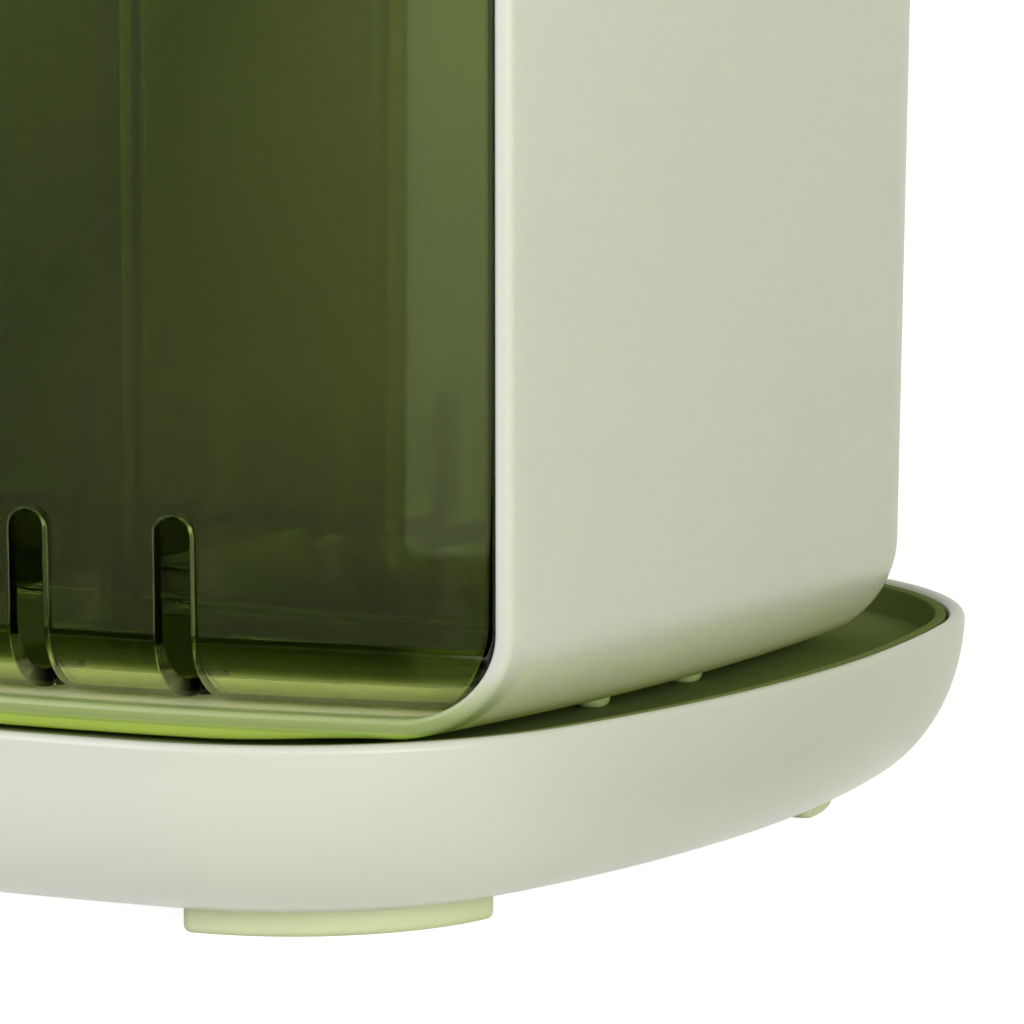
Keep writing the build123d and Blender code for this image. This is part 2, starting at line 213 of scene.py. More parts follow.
class Shape:
    """Surface patches gathered into one closed mesh."""

    def __init__(self):
        self.points = []
        self.faces = []
        self.normals = []
        self.count = 0

    def patch(self, mapping, params, faces, flip=False):
        """Adds the surface mapping(u, v) over faces that index the rows of params."""
        params = np.asarray(params, float)
        start = self.count
        self.points.append(mapping(params[:, 0], params[:, 1]))
        self.count += len(params)
        for sides in sorted({len(f) for f in faces}):
            index = np.array([f for f in faces if len(f) == sides])
            corner = params[index]
            middle = corner.mean(axis=1, keepdims=True)
            near = corner + (middle - corner) * TOWARDS_MIDDLE
            step = (corner.max(axis=1) - corner.min(axis=1)) * STEP_SHARE + 1e-9
            u = near[..., 0]
            v = near[..., 1]
            du = step[:, None, 0] * np.ones_like(u)
            dv = step[:, None, 1] * np.ones_like(v)

            def at(a, b):
                return mapping(a.ravel(), b.ravel()).reshape(a.shape + (3,))

            across = unit(at(u + du, v) - at(u - du, v))
            along = unit(at(u, v + dv) - at(u, v - dv))
            normal = unit(np.cross(across, along))
            if flip:
                index = index[:, ::-1]
                normal = -normal[:, ::-1]
            self.faces.extend((index + start).tolist())
            self.normals.extend(list(normal))

    def grid(self, mapping, us, vs, flip=False):
        """Adds a surface over every pair of the parameters us and vs."""
        us = np.asarray(us, float)
        vs = np.asarray(vs, float)
        params = [(u, v) for v in vs for u in us]
        n = len(us)
        faces = [
            (i * n + j, i * n + j + 1, (i + 1) * n + j + 1, (i + 1) * n + j)
            for i in range(len(vs) - 1)
            for j in range(n - 1)
        ]
        self.patch(mapping, params, faces, flip)

    def quads(self, rows, normal, flip=None):
        """Adds a grid of points with its normals. Without flip, each face turns to its normals."""
        width = rows.shape[1]
        points = rows.reshape(-1, 3)
        flat = normal.reshape(-1, 3)
        start = self.count
        self.points.append(points)
        self.count += len(points)
        for i in range(len(rows) - 1):
            for j in range(width - 1):
                face = [i * width + j, i * width + j + 1, (i + 1) * width + j + 1, (i + 1) * width + j]
                turned = flip
                if flip is None:
                    a, b, c, d = points[face]
                    turned = np.dot(np.cross(c - a, d - b), flat[face].sum(axis=0)) < 0
                if turned:
                    face = face[::-1]
                self.faces.append([k + start for k in face])
                self.normals.append(flat[face])

    def net(self, rows, flip=False, first=None, last=None):
        """Adds closed rows of points, with normals from their neighbours, or first and last for an end row."""
        rows, across = ring(np.asarray(rows, float))
        normal = unit(np.cross(unit(across), unit(np.gradient(rows, axis=0)))) * (-1 if flip else 1)
        if first is not None:
            normal[0] = first
        if last is not None:
            normal[-1] = last
        self.quads(rows, normal, flip)

    def cap(self, outer, inner, outer_away, inner_away, rounding, steps=4):
        """Rounds off the edge between an outer and an inner closed line of points.

        The away vectors lead from each point to where its surface would really end.
        """
        across = unit(outer - inner)
        turns = np.linspace(0, math.pi / 2, steps + 1)
        rows = [outer + outer_away * math.sin(t) - across * rounding * (1 - math.cos(t)) for t in turns]
        rows += [
            inner + inner_away * math.sin(t) + across * rounding * (1 - math.cos(t)) for t in turns[::-1]
        ]
        rows, along = ring(np.array(rows))
        across = np.concatenate([across, across[:1]])
        out = unit(np.concatenate([outer_away, outer_away[:1]]))
        side = unit(across - out * (across * out).sum(axis=1, keepdims=True))
        normal = unit(np.cross(along, np.gradient(rows, axis=0)))
        guess = np.array(
            [side * math.cos(t) + out * math.sin(t) for t in turns]
            + [-side * math.cos(t) + out * math.sin(t) for t in turns[::-1]]
        )
        normal *= np.sign((normal * guess).sum(axis=2, keepdims=True))
        weak = (normal * guess).sum(axis=2) < WEAK_NORMAL
        normal[weak] = guess[weak]
        normal[0] = side
        normal[-1] = -side
        self.quads(rows, normal)

    def build(self, name, material, slot, body, *nodes):
        """Makes the Blender object. It has the given material, rides on body and stands for the CAD nodes.
        Slot is not used.
        """
        points = np.concatenate(self.points)
        tree = KDTree(len(points))
        for i, p in enumerate(points):
            tree.insert(p, i)
        tree.balance()
        first = np.full(len(points), -1)
        for i, p in enumerate(points):
            if first[i] < 0:
                for _, j, _ in tree.find_range(p, MERGE):
                    if first[j] < 0:
                        first[j] = i
        used = {}
        faces = []
        normals = []
        for face, normal in zip(self.faces, self.normals):
            keep = []
            for k, point in enumerate(face):
                if first[point] not in [first[face[m]] for m in keep]:
                    keep.append(k)
            if len(keep) > 2:
                faces.append([used.setdefault(first[face[k]], len(used)) for k in keep])
                normals.extend(tuple(normal[k]) for k in keep)
        mesh = bpy.data.meshes.new(name)
        mesh.from_pydata([tuple(points[i]) for i in used], [], faces)
        mesh.polygons.foreach_set("use_smooth", [True] * len(faces))
        mesh.normals_split_custom_set(normals)
        mesh.materials.append(material)
        piece = placed(name, mesh)
        if nodes:
            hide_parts(*nodes)
        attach(piece, body)


def inside(point, loop):
    """True if the point of the plane lies within the closed loop."""
    x, y = point
    x0 = loop[:, 0]
    y0 = loop[:, 1]
    x1 = np.roll(x0, -1)
    y1 = np.roll(y0, -1)
    crosses = (y0 > y) != (y1 > y)
    at = x0 + (y - y0) / np.where(y1 == y0, 1, y1 - y0) * (x1 - x0)
    return np.count_nonzero(crosses & (x < at)) % 2 == 1


def fill(outline, holes=(), rows=(), lines=(), space=0.0):
    """Triangles in the plane between an outline and its holes, with rows of extra points.

    Extra points nearer than space to an edge's point are left out. Lines are kept as edges.
    """
    loop = np.asarray(outline)
    holes = [np.asarray(hole) for hole in holes]
    coords = [loop, *holes, *(np.asarray(line) for line in lines)]
    edges = []
    count = 0
    for k, path in enumerate(coords):
        n = len(path)
        closed = k <= len(holes)
        edges += [(count + i, count + (i + 1) % n) for i in range(n if closed else n - 1)]
        count += n
    fixed = np.concatenate(coords)

    def within(point):
        return inside(point, loop) and not any(inside(point, hole) for hole in holes)

    extra = [p for p in rows if np.min(np.hypot(*(fixed - p).T)) > space and within(p)]
    if extra:
        fixed = np.concatenate([fixed, np.array(extra)])
    found = delaunay_2d_cdt([Vector(p * MILLIMETRES) for p in fixed], edges, [], 1, 1e-6)
    params = np.array([tuple(p) for p in found[0]]) / MILLIMETRES
    faces = []
    for face in found[2]:
        a, b, c = params[list(face)]
        if not within((a + b + c) / 3):
            continue
        turn = (b[0] - a[0]) * (c[1] - a[1]) - (b[1] - a[1]) * (c[0] - a[0])
        faces.append(tuple(face) if turn > 0 else tuple(face)[::-1])
    return params, faces


def stadium(x, y, size, grow):
    """Closed outline of a slot along X with round ends."""
    length, width = size
    radius = width / 2 + grow
    half = (length - width) / 2
    turns = np.linspace(-math.pi / 2, math.pi / 2, 11)
    right = [(x + half + radius * math.cos(t), y + radius * math.sin(t)) for t in turns]
    left = [(x - half - radius * math.cos(t), y - radius * math.sin(t)) for t in turns]
    return np.array(right + left)


def level(z):
    """Turns plane points into space at a height."""
    return lambda x, y: xyz(x, y, z)


def lift(loop, z):
    """A loop of plane points at a height."""
    return xyz(*np.asarray(loop).T, z)


def slot_walls(shape, loop_at, top, bottom):
    """Lines a slot between two levels and rounds its edges. loop_at(grow) is its outline."""
    wide = loop_at(SLOT_ROUND)
    exact = loop_at(0.0)
    away = lift(exact - wide, 0.0)
    shape.cap(lift(wide, top), lift(wide, bottom), away, away, SLOT_ROUND, steps=3)


def circles_meet(x1, y1, r1, x2, y2, r2):
    """Where two circles cross, on the left of the line from the first to the second."""
    apart = np.hypot(x2 - x1, y2 - y1)
    along = (apart**2 + r1**2 - r2**2) / (2 * apart)
    across = np.sqrt(np.maximum(r1**2 - along**2, 0))
    way_x = (x2 - x1) / apart
    way_y = (y2 - y1) / apart
    return x1 + along * way_x - across * way_y, y1 + along * way_y + across * way_x


def pick(w, ends, values):
    """The value of the stretch that w is in, where the stretches end at the given values of w."""
    chosen = values[-1]
    for end, value in zip(ends[::-1], values[-2::-1]):
        chosen = np.where(w < end, value, chosen)
    return chosen


# Tray basin and what follows its outline
def tray_corner():
    """Centre of the tray's front right corner arc."""
    side_x = TRAY_HALF_WIDTH - TRAY_SIDE_ARC
    front_y = TRAY_FRONT_ARC - TRAY_HALF_DEPTH
    return circles_meet(0, front_y, TRAY_FRONT_ARC - TRAY_CORNER, side_x, 0, TRAY_SIDE_ARC - TRAY_CORNER)


CORNER_X, CORNER_Y = (float(value) for value in tray_corner())
if CORNER_Y > 0:
    raise ValueError("the tray's corner was found at the wrong end")
END_SHARE = 0.36
CORNER_SHARE = 0.30
FRONT_TURN = math.atan2(CORNER_X, TRAY_FRONT_ARC - TRAY_HALF_DEPTH - CORNER_Y)
SIDE_TURN = math.atan2(-CORNER_Y, CORNER_X - TRAY_HALF_WIDTH + TRAY_SIDE_ARC)


def tray_point(u, inset):
    """Point of the tray's outline, moved in by inset. u runs 0 to 4 from the rear middle."""
    quarter = np.clip(np.floor(u), 0, 3).astype(int)
    t = u - quarter
    # Each quarter runs over half of an end arc, a corner and half of a side arc
    t = np.where(quarter % 2 == 1, 1 - t, t)
    a = np.clip(t / END_SHARE, 0, 1)
    b = np.clip((t - END_SHARE) / CORNER_SHARE, 0, 1)
    c = np.clip((t - END_SHARE - CORNER_SHARE) / (1 - END_SHARE - CORNER_SHARE), 0, 1)
    end_turn = a * FRONT_TURN
    x_end = (TRAY_FRONT_ARC - inset) * np.sin(end_turn)
    y_end = TRAY_HALF_DEPTH - TRAY_FRONT_ARC + (TRAY_FRONT_ARC - inset) * np.cos(end_turn)
    turn = FRONT_TURN + b * (math.pi / 2 - FRONT_TURN - SIDE_TURN)
    x_corner = CORNER_X + (TRAY_CORNER - inset) * np.sin(turn)
    y_corner = -CORNER_Y + (TRAY_CORNER - inset) * np.cos(turn)
    side_turn = (1 - c) * SIDE_TURN
    x_side = TRAY_HALF_WIDTH - TRAY_SIDE_ARC + (TRAY_SIDE_ARC - inset) * np.cos(side_turn)
    y_side = (TRAY_SIDE_ARC - inset) * np.sin(side_turn)
    x = pick(t, (END_SHARE, END_SHARE + CORNER_SHARE), (x_end, x_corner, x_side))
    y = pick(t, (END_SHARE, END_SHARE + CORNER_SHARE), (y_end, y_corner, y_side))
    sign_x = np.where(quarter < 2, 1, -1)
    sign_y = np.where((quarter == 0) | (quarter == 3), 1, -1)
    return x * sign_x, y * sign_y


def round_steps():
    """Values of u all round the tray, clockwise from the rear middle."""
    last = END_SHARE + CORNER_SHARE
    t = np.concatenate([
        np.linspace(0, END_SHARE, 14, endpoint=False),
        np.linspace(END_SHARE, last, 14, endpoint=False),
        np.linspace(last, 1.0, 13),
    ])
    return np.concatenate([t, 1 + (1 - t[::-1])[1:], 2 + t[1:], 3 + (1 - t[::-1])[1:]])


def swept(inset_at, height_at):
    """Mapping of (u round the tray, v) with the inset and the height as functions of v."""

    def mapping(u, v):
        x, y = tray_point(u, inset_at(v))
        return xyz(x, y, height_at(v))

    return mapping


def wall_inset(depth, height):
    """How far the dish wall has curved in at this depth below the rim."""
    return TRAY_WALL_INSET * (1 - np.cos(np.arcsin(np.minimum(1.0, depth / height))))


def dish(extra, height):
    """Mapping of a dish wall, with v as the angle of its quarter ellipse below the rim."""
    return swept(
        lambda v: extra + TRAY_WALL_INSET * (1 - np.cos(v)),
        lambda v: TRAY_RIM - height * np.sin(v),
    )


def tray_loop(inset):
    """Closed outline of the tray at an inset, counter-clockwise."""
    x, y = tray_point(round_steps(), inset)
    return np.column_stack([x, y])[:-1][::-1]


def tray_line(inset, z):
    """Points all round the tray at an inset and a height."""
    u = round_steps()[:-1]
    return xyz(*tray_point(u, inset), z)


def tray_rim_lines(extra, height, drop):
    """Points of a dish wall at drop below the rim, and how they lead up to the rim."""
    low = tray_line(extra + wall_inset(drop, height), TRAY_RIM - drop)
    return low, tray_line(extra, TRAY_RIM) - low


def make_tray(material):
    """The cream saucer that collects the water."""
    shape = Shape()
    for extra, height, flip in ((TRAY_SKIN, TRAY_HEIGHT, False), (TRAY_WALL, HOLLOW_HEIGHT, True)):
        turns = np.linspace(math.asin(TRAY_RIM_ROUND / height), math.pi / 2, 20)
        shape.grid(dish(extra, height), round_steps(), turns, flip)
    outer, outer_away = tray_rim_lines(TRAY_SKIN, TRAY_HEIGHT, TRAY_RIM_ROUND)
    inner, inner_away = tray_rim_lines(TRAY_WALL, HOLLOW_HEIGHT, TRAY_RIM_ROUND)
    shape.cap(outer, inner, outer_away, inner_away, TRAY_RIM_ROUND, steps=6)
    bottom = tray_loop(TRAY_WALL_INSET + TRAY_SKIN)
    floor = tray_loop(TRAY_WALL_INSET + TRAY_WALL)
    shape.patch(level(TRAY_BASE), *fill(bottom), flip=True)
    shape.patch(level(TRAY_BASE + TRAY_FLOOR), *fill(floor))
    shape.build("tray_dish", material, "tray", "tray", "tray_basin")


def make_feet(material):
    """One curved strip under each corner of the tray."""
    outer = TRAY_CORNER - TRAY_WALL_INSET + FOOT_OVERHANG
    middle = outer - FOOT_WIDTH / 2
    span = middle * (math.pi / 2 - 2 * FOOT_END_ANGLE)

    def strip(inset):
        """Outline of a rounded rectangle, length along the strip by distance across."""
        half_long = span / 2 - inset
        half_wide = FOOT_WIDTH / 2 - inset
        radius = max(FOOT_CORNER_ROUND - inset, FOOT_LEAST_ROUND)
        points = []
        for sx, sy, first in ((1, 1, 0), (-1, 1, 90), (-1, -1, 180), (1, -1, 270)):
            for t in np.radians(np.linspace(first, first + 90, 7)):
                points.append((
                    sx * (half_long - radius) + radius * math.cos(t),
                    sy * (half_wide - radius) + radius * math.sin(t),
                ))
        loop = []
        for a, b in zip(points, points[1:] + points[:1]):
            count = 24 if abs(a[0] - b[0]) > span / 2 else 1
            loop += [tuple(np.array(a) + (np.array(b) - np.array(a)) * k / count) for k in range(count)]
        return np.array(loop)

    turns = np.linspace(0, math.pi / 2, 6)
    profile = [(FOOT_EDGE_ROUND * (1 - math.sin(t)), FOOT_EDGE_ROUND * (1 - math.cos(t))) for t in turns]
    profile.append((0.0, FOOT_TOP))
    for name, side_x, side_y in CORNERS:

        def bend(along, across):
            turn = along / middle + math.pi / 4
            far = middle + across
            x = side_x * (CORNER_X + far * np.cos(turn))
            y = side_y * (-CORNER_Y + far * np.sin(turn))
            return xyz(x, y, 0.0)

        rows = []
        for inset, z in profile:
            loop = strip(inset)
            row = bend(loop[:, 0], loop[:, 1])
            row[:, 2] = z
            rows.append(row)
        mirrored = side_x * side_y < 0
        shape = Shape()
        shape.net(rows, flip=not mirrored, first=(0, 0, -1))
        shape.patch(bend, *fill(strip(FOOT_EDGE_ROUND)), flip=mirrored)
        top = np.array([0, 0, FOOT_TOP])
        shape.patch(lambda a, b: bend(a, b) + top, *fill(strip(0.0)), flip=not mirrored)
        shape.build("tray_foot_" + name, material, "foot", "tray", "foot_" + name)


def turned(shape, x, y, profile):
    """Adds a surface of revolution about a vertical line. Profile points are (radius, z)."""
    turns = np.linspace(0, 2 * math.pi, 40, endpoint=False)
    rows = [xyz(x + radius * np.cos(turns), y + radius * np.sin(turns), z) for radius, z in profile]
    shape.net([xyz(x, y, np.full_like(turns, profile[0][1])), rows[0]], first=(0, 0, -1), last=(0, 0, -1))
    shape.net(rows, first=(0, 0, -1))


def make_plate(material):
    """The slotted plate that lies in the basin on six legs."""
    shape = Shape()
    outside = TRAY_WALL + PLATE_CLEARANCE
    lip_top = TRAY_RIM - LIP_DROP
    rounding = PLATE_ROUND

    def outer_inset(z):
        return outside + wall_inset(TRAY_RIM - z, HOLLOW_HEIGHT)

    side = swept(outer_inset, lambda v: v)
    shape.grid(side, round_steps(), np.linspace(PLATE_UNDER, lip_top - rounding, 5), flip=True)
    inside_lip = swept(lambda v: outer_inset(v) + LIP_WIDTH, lambda v: v)
    shape.grid(inside_lip, round_steps(), np.linspace(PLATE_TOP + rounding, lip_top - rounding, 4))
    foot_inset = outer_inset(PLATE_TOP + rounding) + LIP_WIDTH + rounding
    foot = swept(
        lambda v: foot_inset - rounding * np.sin(v), lambda v: PLATE_TOP + rounding * (1 - np.cos(v))
    )
    shape.grid(foot, round_steps(), np.linspace(0, math.pi / 2, 5))
    ends = []
    for extra in (0.0, LIP_WIDTH):
        low = tray_line(outer_inset(lip_top - rounding) + extra, lip_top - rounding)
        ends.append((low, tray_line(outer_inset(lip_top) + extra, lip_top) - low))
    (outer, outer_away), (inner, inner_away) = ends
    shape.cap(outer, inner, outer_away, inner_away, rounding, steps=3)
    slots = [
        lambda grow, x=x, y=y: stadium(x, y, PLATE_SLOT, grow) for x in PLATE_SLOT_X for y in PLATE_SLOT_Y
    ]
    holes = [slot(SLOT_ROUND) for slot in slots]
    shape.patch(level(PLATE_TOP), *fill(tray_loop(foot_inset), holes))
    shape.patch(level(PLATE_UNDER), *fill(tray_loop(outer_inset(PLATE_UNDER)), holes), flip=True)
    for slot in slots:
        slot_walls(shape, slot, PLATE_TOP, PLATE_UNDER)
    leg_foot = TRAY_BASE + TRAY_FLOOR + SEAT_GAP
    turns = np.linspace(0, math.pi / 2, 4)
    leg = [
        (LEG_RADIUS - rounding * (1 - math.sin(t)), leg_foot + rounding * (1 - math.cos(t))) for t in turns
    ]
    leg += [(LEG_RADIUS, PLATE_UNDER + rounding), (0.0, PLATE_UNDER + rounding)]
    for x in LEG_X:
        for y in LEG_Y:
            turned(shape, x, y, leg)
    shape.build("tray_plate", material, "plate", "plate", "drain_plate")


# Holder shell and the outlines that follow it
def half_width(z):
    """Half of the shell's width at height z, at the middle of its sides."""
    return SHELL_HALF_WIDTH + SIDE_SLOPE * (z - SHELL_BASE)


def half_depth(z):
    """Half of the shell's depth at height z, at the middle of its front."""
    return SHELL_HALF_DEPTH + DEPTH_SLOPE * (z - SHELL_BASE)


def round_inset(z, base, radius):
    """How far a bottom round has drawn its wall in at height z."""
    up = np.clip(radius - (z - base), 0, radius)
    return radius - np.sqrt(radius**2 - up**2)


def wall_at(v, base, radius, top):
    """Height and inset of a wall: v runs 0 to 1 round its bottom bend and 1 to 2 up to its top."""
    a = np.clip(v, 0, 1) * math.pi / 2
    z = base + radius * (1 - np.cos(a)) + np.clip(v - 1, 0, None) * (top - base - radius)
    return z, radius * (1 - np.sin(a))


def wall_steps(base, radius, top, drop, heights=()):
    """Values of v for a wall up to drop below its top, with levels at the given heights."""
    span = top - base - radius
    end = 1 + (span - drop) / span
    steps = [*np.linspace(0, 1, 16, endpoint=False), *np.linspace(1, end, 12)]
    for z in heights:
        if z < base + radius:
            steps.append(math.acos(1 - (z - base) / radius) / (math.pi / 2))
        else:
            steps.append(1 + (z - base - radius) / span)
    return np.array(sorted(steps))


def share(u, start, low, high):
    """Value between low and high for u in the segment that starts at start."""
    return low + (high - low) * np.clip(u - start, 0, 1)


def arc_point(x, y, radius, turn):
    """Point of an arc."""
    return x + radius * np.cos(turn), y + radius * np.sin(turn)


def folded(u, whole):
    """u folded back at the middle of a path, and the side of X that it is on."""
    return np.minimum(u, whole - u), np.where(u > whole / 2, -1, 1)


def rear_path(z, inset, gap):
    """Sizes of the bowed side, rounded rear corner and bowed rear, moved in by gap and inset."""
    side_r = SHELL_SIDE_ARC - gap - inset
    side_x = half_width(z) - SHELL_SIDE_ARC
    rear_r = SHELL_REAR_ARC - gap - inset
    rear_y = half_depth(z) - SHELL_REAR_ARC
    corner_r = SHELL_CORNER - gap - inset
    corner_x, corner_y = circles_meet(0, -rear_y, rear_r - corner_r, side_x, 0, side_r - corner_r)
    corner_y = -corner_y
    side_turn = np.arctan2(corner_y, corner_x - side_x)
    rear_turn = np.arctan2(corner_y - rear_y, corner_x)
    return side_x, side_r, rear_y, rear_r, corner_x, corner_y, corner_r, side_turn, rear_turn


def shell_front_y(x, z, back):
    """Y of the shell's bowed front, set back."""
    return -half_depth(z) + SHELL_FRONT_ARC - np.sqrt(SHELL_FRONT_ARC**2 - x**2) + back


def shell_wall(base, radius, gap, back):
    """Mapping of the shell's walls: u 0 to 6 from the right front edge round to the left one."""

    def mapping(u, v):
        z, inset = wall_at(v, base, radius, SHELL_TOP)
        side_x, side_r, rear_y, rear_r, cx, cy, cr, side_turn, rear_turn = rear_path(z, inset, gap)
        front_y = SHELL_FRONT_ARC - half_depth(z) + back
        end_x, end_y = circles_meet(0, front_y, SHELL_FRONT_ARC, side_x, 0, side_r)
        first_turn = np.arctan2(end_y, end_x - side_x)
        w, side = folded(u, 6)
        p = arc_point(side_x, 0, side_r, share(w, 0, first_turn, side_turn))
        q = arc_point(cx, cy, cr, share(w, 1, side_turn, rear_turn))
        r = arc_point(0, rear_y, rear_r, share(w, 2, rear_turn, math.pi / 2))
        x, y = (pick(w, (1, 2), stretches) for stretches in zip(p, q, r))
        return xyz(x * side, y, z)

    return mapping


def floor_slot_loops(side_y):
    """Outlines of the drain slots under one bin, each as a function of how far it is grown."""
    row_y = MEET_Y + side_y * FLOOR_SLOT_OFFSET
    wall_y = MEET_Y + side_y * (BIN_GAP / 2 + BIN_WALL + WALL_SLOT_GAP + WALL_SLOT[1] / 2)
    loops = [lambda grow, x=x: stadium(x, row_y, FLOOR_SLOT, grow) for x in FLOOR_SLOT_X]
    loops += [lambda grow, x=x: stadium(x, wall_y, WALL_SLOT, grow) for x in WALL_SLOT_X]
    return loops


def make_shell(material):
    """The cream shell with its open front."""
    shape = Shape()
    rounding = SHELL_EDGE_ROUND
    us = np.concatenate([np.linspace(0, 1, 20), np.linspace(1, 2, 15)[1:], np.linspace(2, 3, 16)[1:]])
    us = np.concatenate([us, (6 - us[::-1])[1:]])
    vs = wall_steps(SHELL_BASE, SHELL_BOTTOM_ROUND, SHELL_TOP, rounding)
    sides = ((SHELL_BASE, SHELL_BOTTOM_ROUND, 0.0), (BIN_BASE, BIN_ROUND, SHELL_WALL))
    slots = floor_slot_loops(-1) + floor_slot_loops(1)
    holes = [slot(SLOT_ROUND) for slot in slots]
    spread = np.linspace(-1, 1, FRONT_STEPS)
    turns = np.linspace(0, math.pi / 2, 5)[1:-1]
    lines = []
    for k, (base, radius, gap) in enumerate(sides):
        set_back = shell_wall(base, radius, gap, rounding)
        nominal = shell_wall(base, radius, gap, 0.0)
        shape.grid(set_back, us, vs, flip=k == 1)
        foot = set_back(us, np.zeros_like(us))
        foot_end = nominal(np.array([0.0]), np.array([0.0]))[0, 0]
        across = spread * foot[0, 0]
        front = xyz(across, shell_front_y(across, base, rounding), base)
        exact = spread * foot_end
        edge = xyz(exact, shell_front_y(exact, base, 0.0), base)
        outline = np.concatenate([foot[:, :2], front[1:-1, :2]])
        shape.patch(level(base), *fill(outline, holes), flip=k == 0)
        rim = set_back(us, np.full_like(us, vs[-1]))
        up = set_back(us, np.full_like(us, 2.0)) - rim
        left, right = (set_back(np.full_like(vs, u), vs) for u in (6.0, 0.0))
        left_out, right_out = (nominal(np.full_like(vs, u), vs) for u in (6.0, 0.0))
        left_out = left_out - left
        right_out = right_out - right
        left_fan = [up[-1] * math.cos(t) + left_out[-1] * math.sin(t) for t in turns]
        right_fan = [right_out[-1] * math.cos(t) + up[0] * math.sin(t) for t in turns]
        points = np.concatenate([
            rim, [rim[-1]] * len(turns), left[::-1], front[1:-1], right, [right[-1]] * len(turns),
        ])
        away = np.concatenate([up, left_fan, left_out[::-1], (edge - front)[1:-1], right_out, right_fan])
        lines.append((points, away))
    (outer, outer_away), (inner, inner_away) = lines
    shape.cap(outer, inner, outer_away, inner_away, rounding)
    for slot in slots:
        slot_walls(shape, slot, BIN_BASE, SHELL_BASE)
    shape.build("holder_body", material, "shell", "shell", "holder_shell")


def make_drip_lip(material):
    """A low bead along the underside of the shell's front edge."""
    end = shell_wall(SHELL_BASE, SHELL_BOTTOM_ROUND, 0.0, 0.0)(np.zeros(1), np.zeros(1))[0, 0]
    across = np.linspace(-end, end, BEAD_STEPS)
    taper = np.clip((end - np.abs(across)) / BEAD_TAPER, 0, 1)
    taper = taper**2 * (3 - 2 * taper)
    sections = []
    for turn in np.linspace(0, 2 * math.pi, BEAD_SIDES, endpoint=False):
        # Between a rectangle and an ellipse
        depth = BEAD_BACK + BEAD_DEPTH / 2 * (1 - math.copysign(abs(math.cos(turn)) ** 0.5, math.cos(turn)))
        reach = SHELL_EDGE_ROUND + BEAD_DROP * taper if math.sin(turn) < 0 else SHELL_FLOOR / 4
        z = SHELL_BASE + SHELL_EDGE_ROUND + reach * math.sin(turn)
        sections.append(xyz(across, shell_front_y(across, SHELL_BASE, depth), z))
    loops = np.stack(sections, axis=1)
    ends = np.broadcast_to(loops.mean(axis=1, keepdims=True), loops.shape)
    shape = Shape()
    rows = np.concatenate([ends[:1], loops, ends[-1:]])
    shape.net(rows, flip=True, first=(-1, 0, 0), last=(1, 0, 0))
    shape.build("holder_drip_lip", material, "shell", "shell")


def make_pads(material):
    """Four small domed pads under the shell."""
    turns = np.linspace(0, math.pi / 2, 9)
    low = PLATE_TOP + SEAT_GAP
    profile = [(PAD_RADIUS - PAD_DOME * (1 - math.sin(t)), low + PAD_DOME * (1 - math.cos(t))) for t in turns]
    profile += [(PAD_RADIUS, SHELL_BASE + SHELL_FLOOR / 2), (0.0, SHELL_BASE + SHELL_FLOOR / 2)]
    for name, side_x, side_y in CORNERS:
        shape = Shape()
        turned(shape, side_x * PAD_X, side_y * PAD_Y, profile)
        shape.build("holder_pad_" + name, material, "pad", "shell", "shell_pad_" + name)


# Bins: a front and floor sheet, and walls round the sides and back
RIB_PLACES = (
    RIB_CENTRE - RIB_THICKNESS / 2 - RIB_SIDE,
    RIB_CENTRE - RIB_THICKNESS / 2,
    RIB_CENTRE + RIB_THICKNESS / 2,
    RIB_CENTRE + RIB_THICKNESS / 2 + RIB_SIDE,
)
RIB_SLOPE = 0.0008
MIDDLE_REACH = 0.0060
MIDDLE_SHARE = 0.6


def rib_rise(x, z, inset):
    """How far the guide ribs stand out of a wall."""
    rise = np.interp(np.abs(x), [0.0, *RIB_PLACES, 1.0], [0, 0, 1, 1, 0, 0])
    rise = rise * np.clip((RIB_TOP - z) / RIB_SLOPE, 0, 1)
    return rise * np.maximum(RIB_DEPTH - inset, 0)


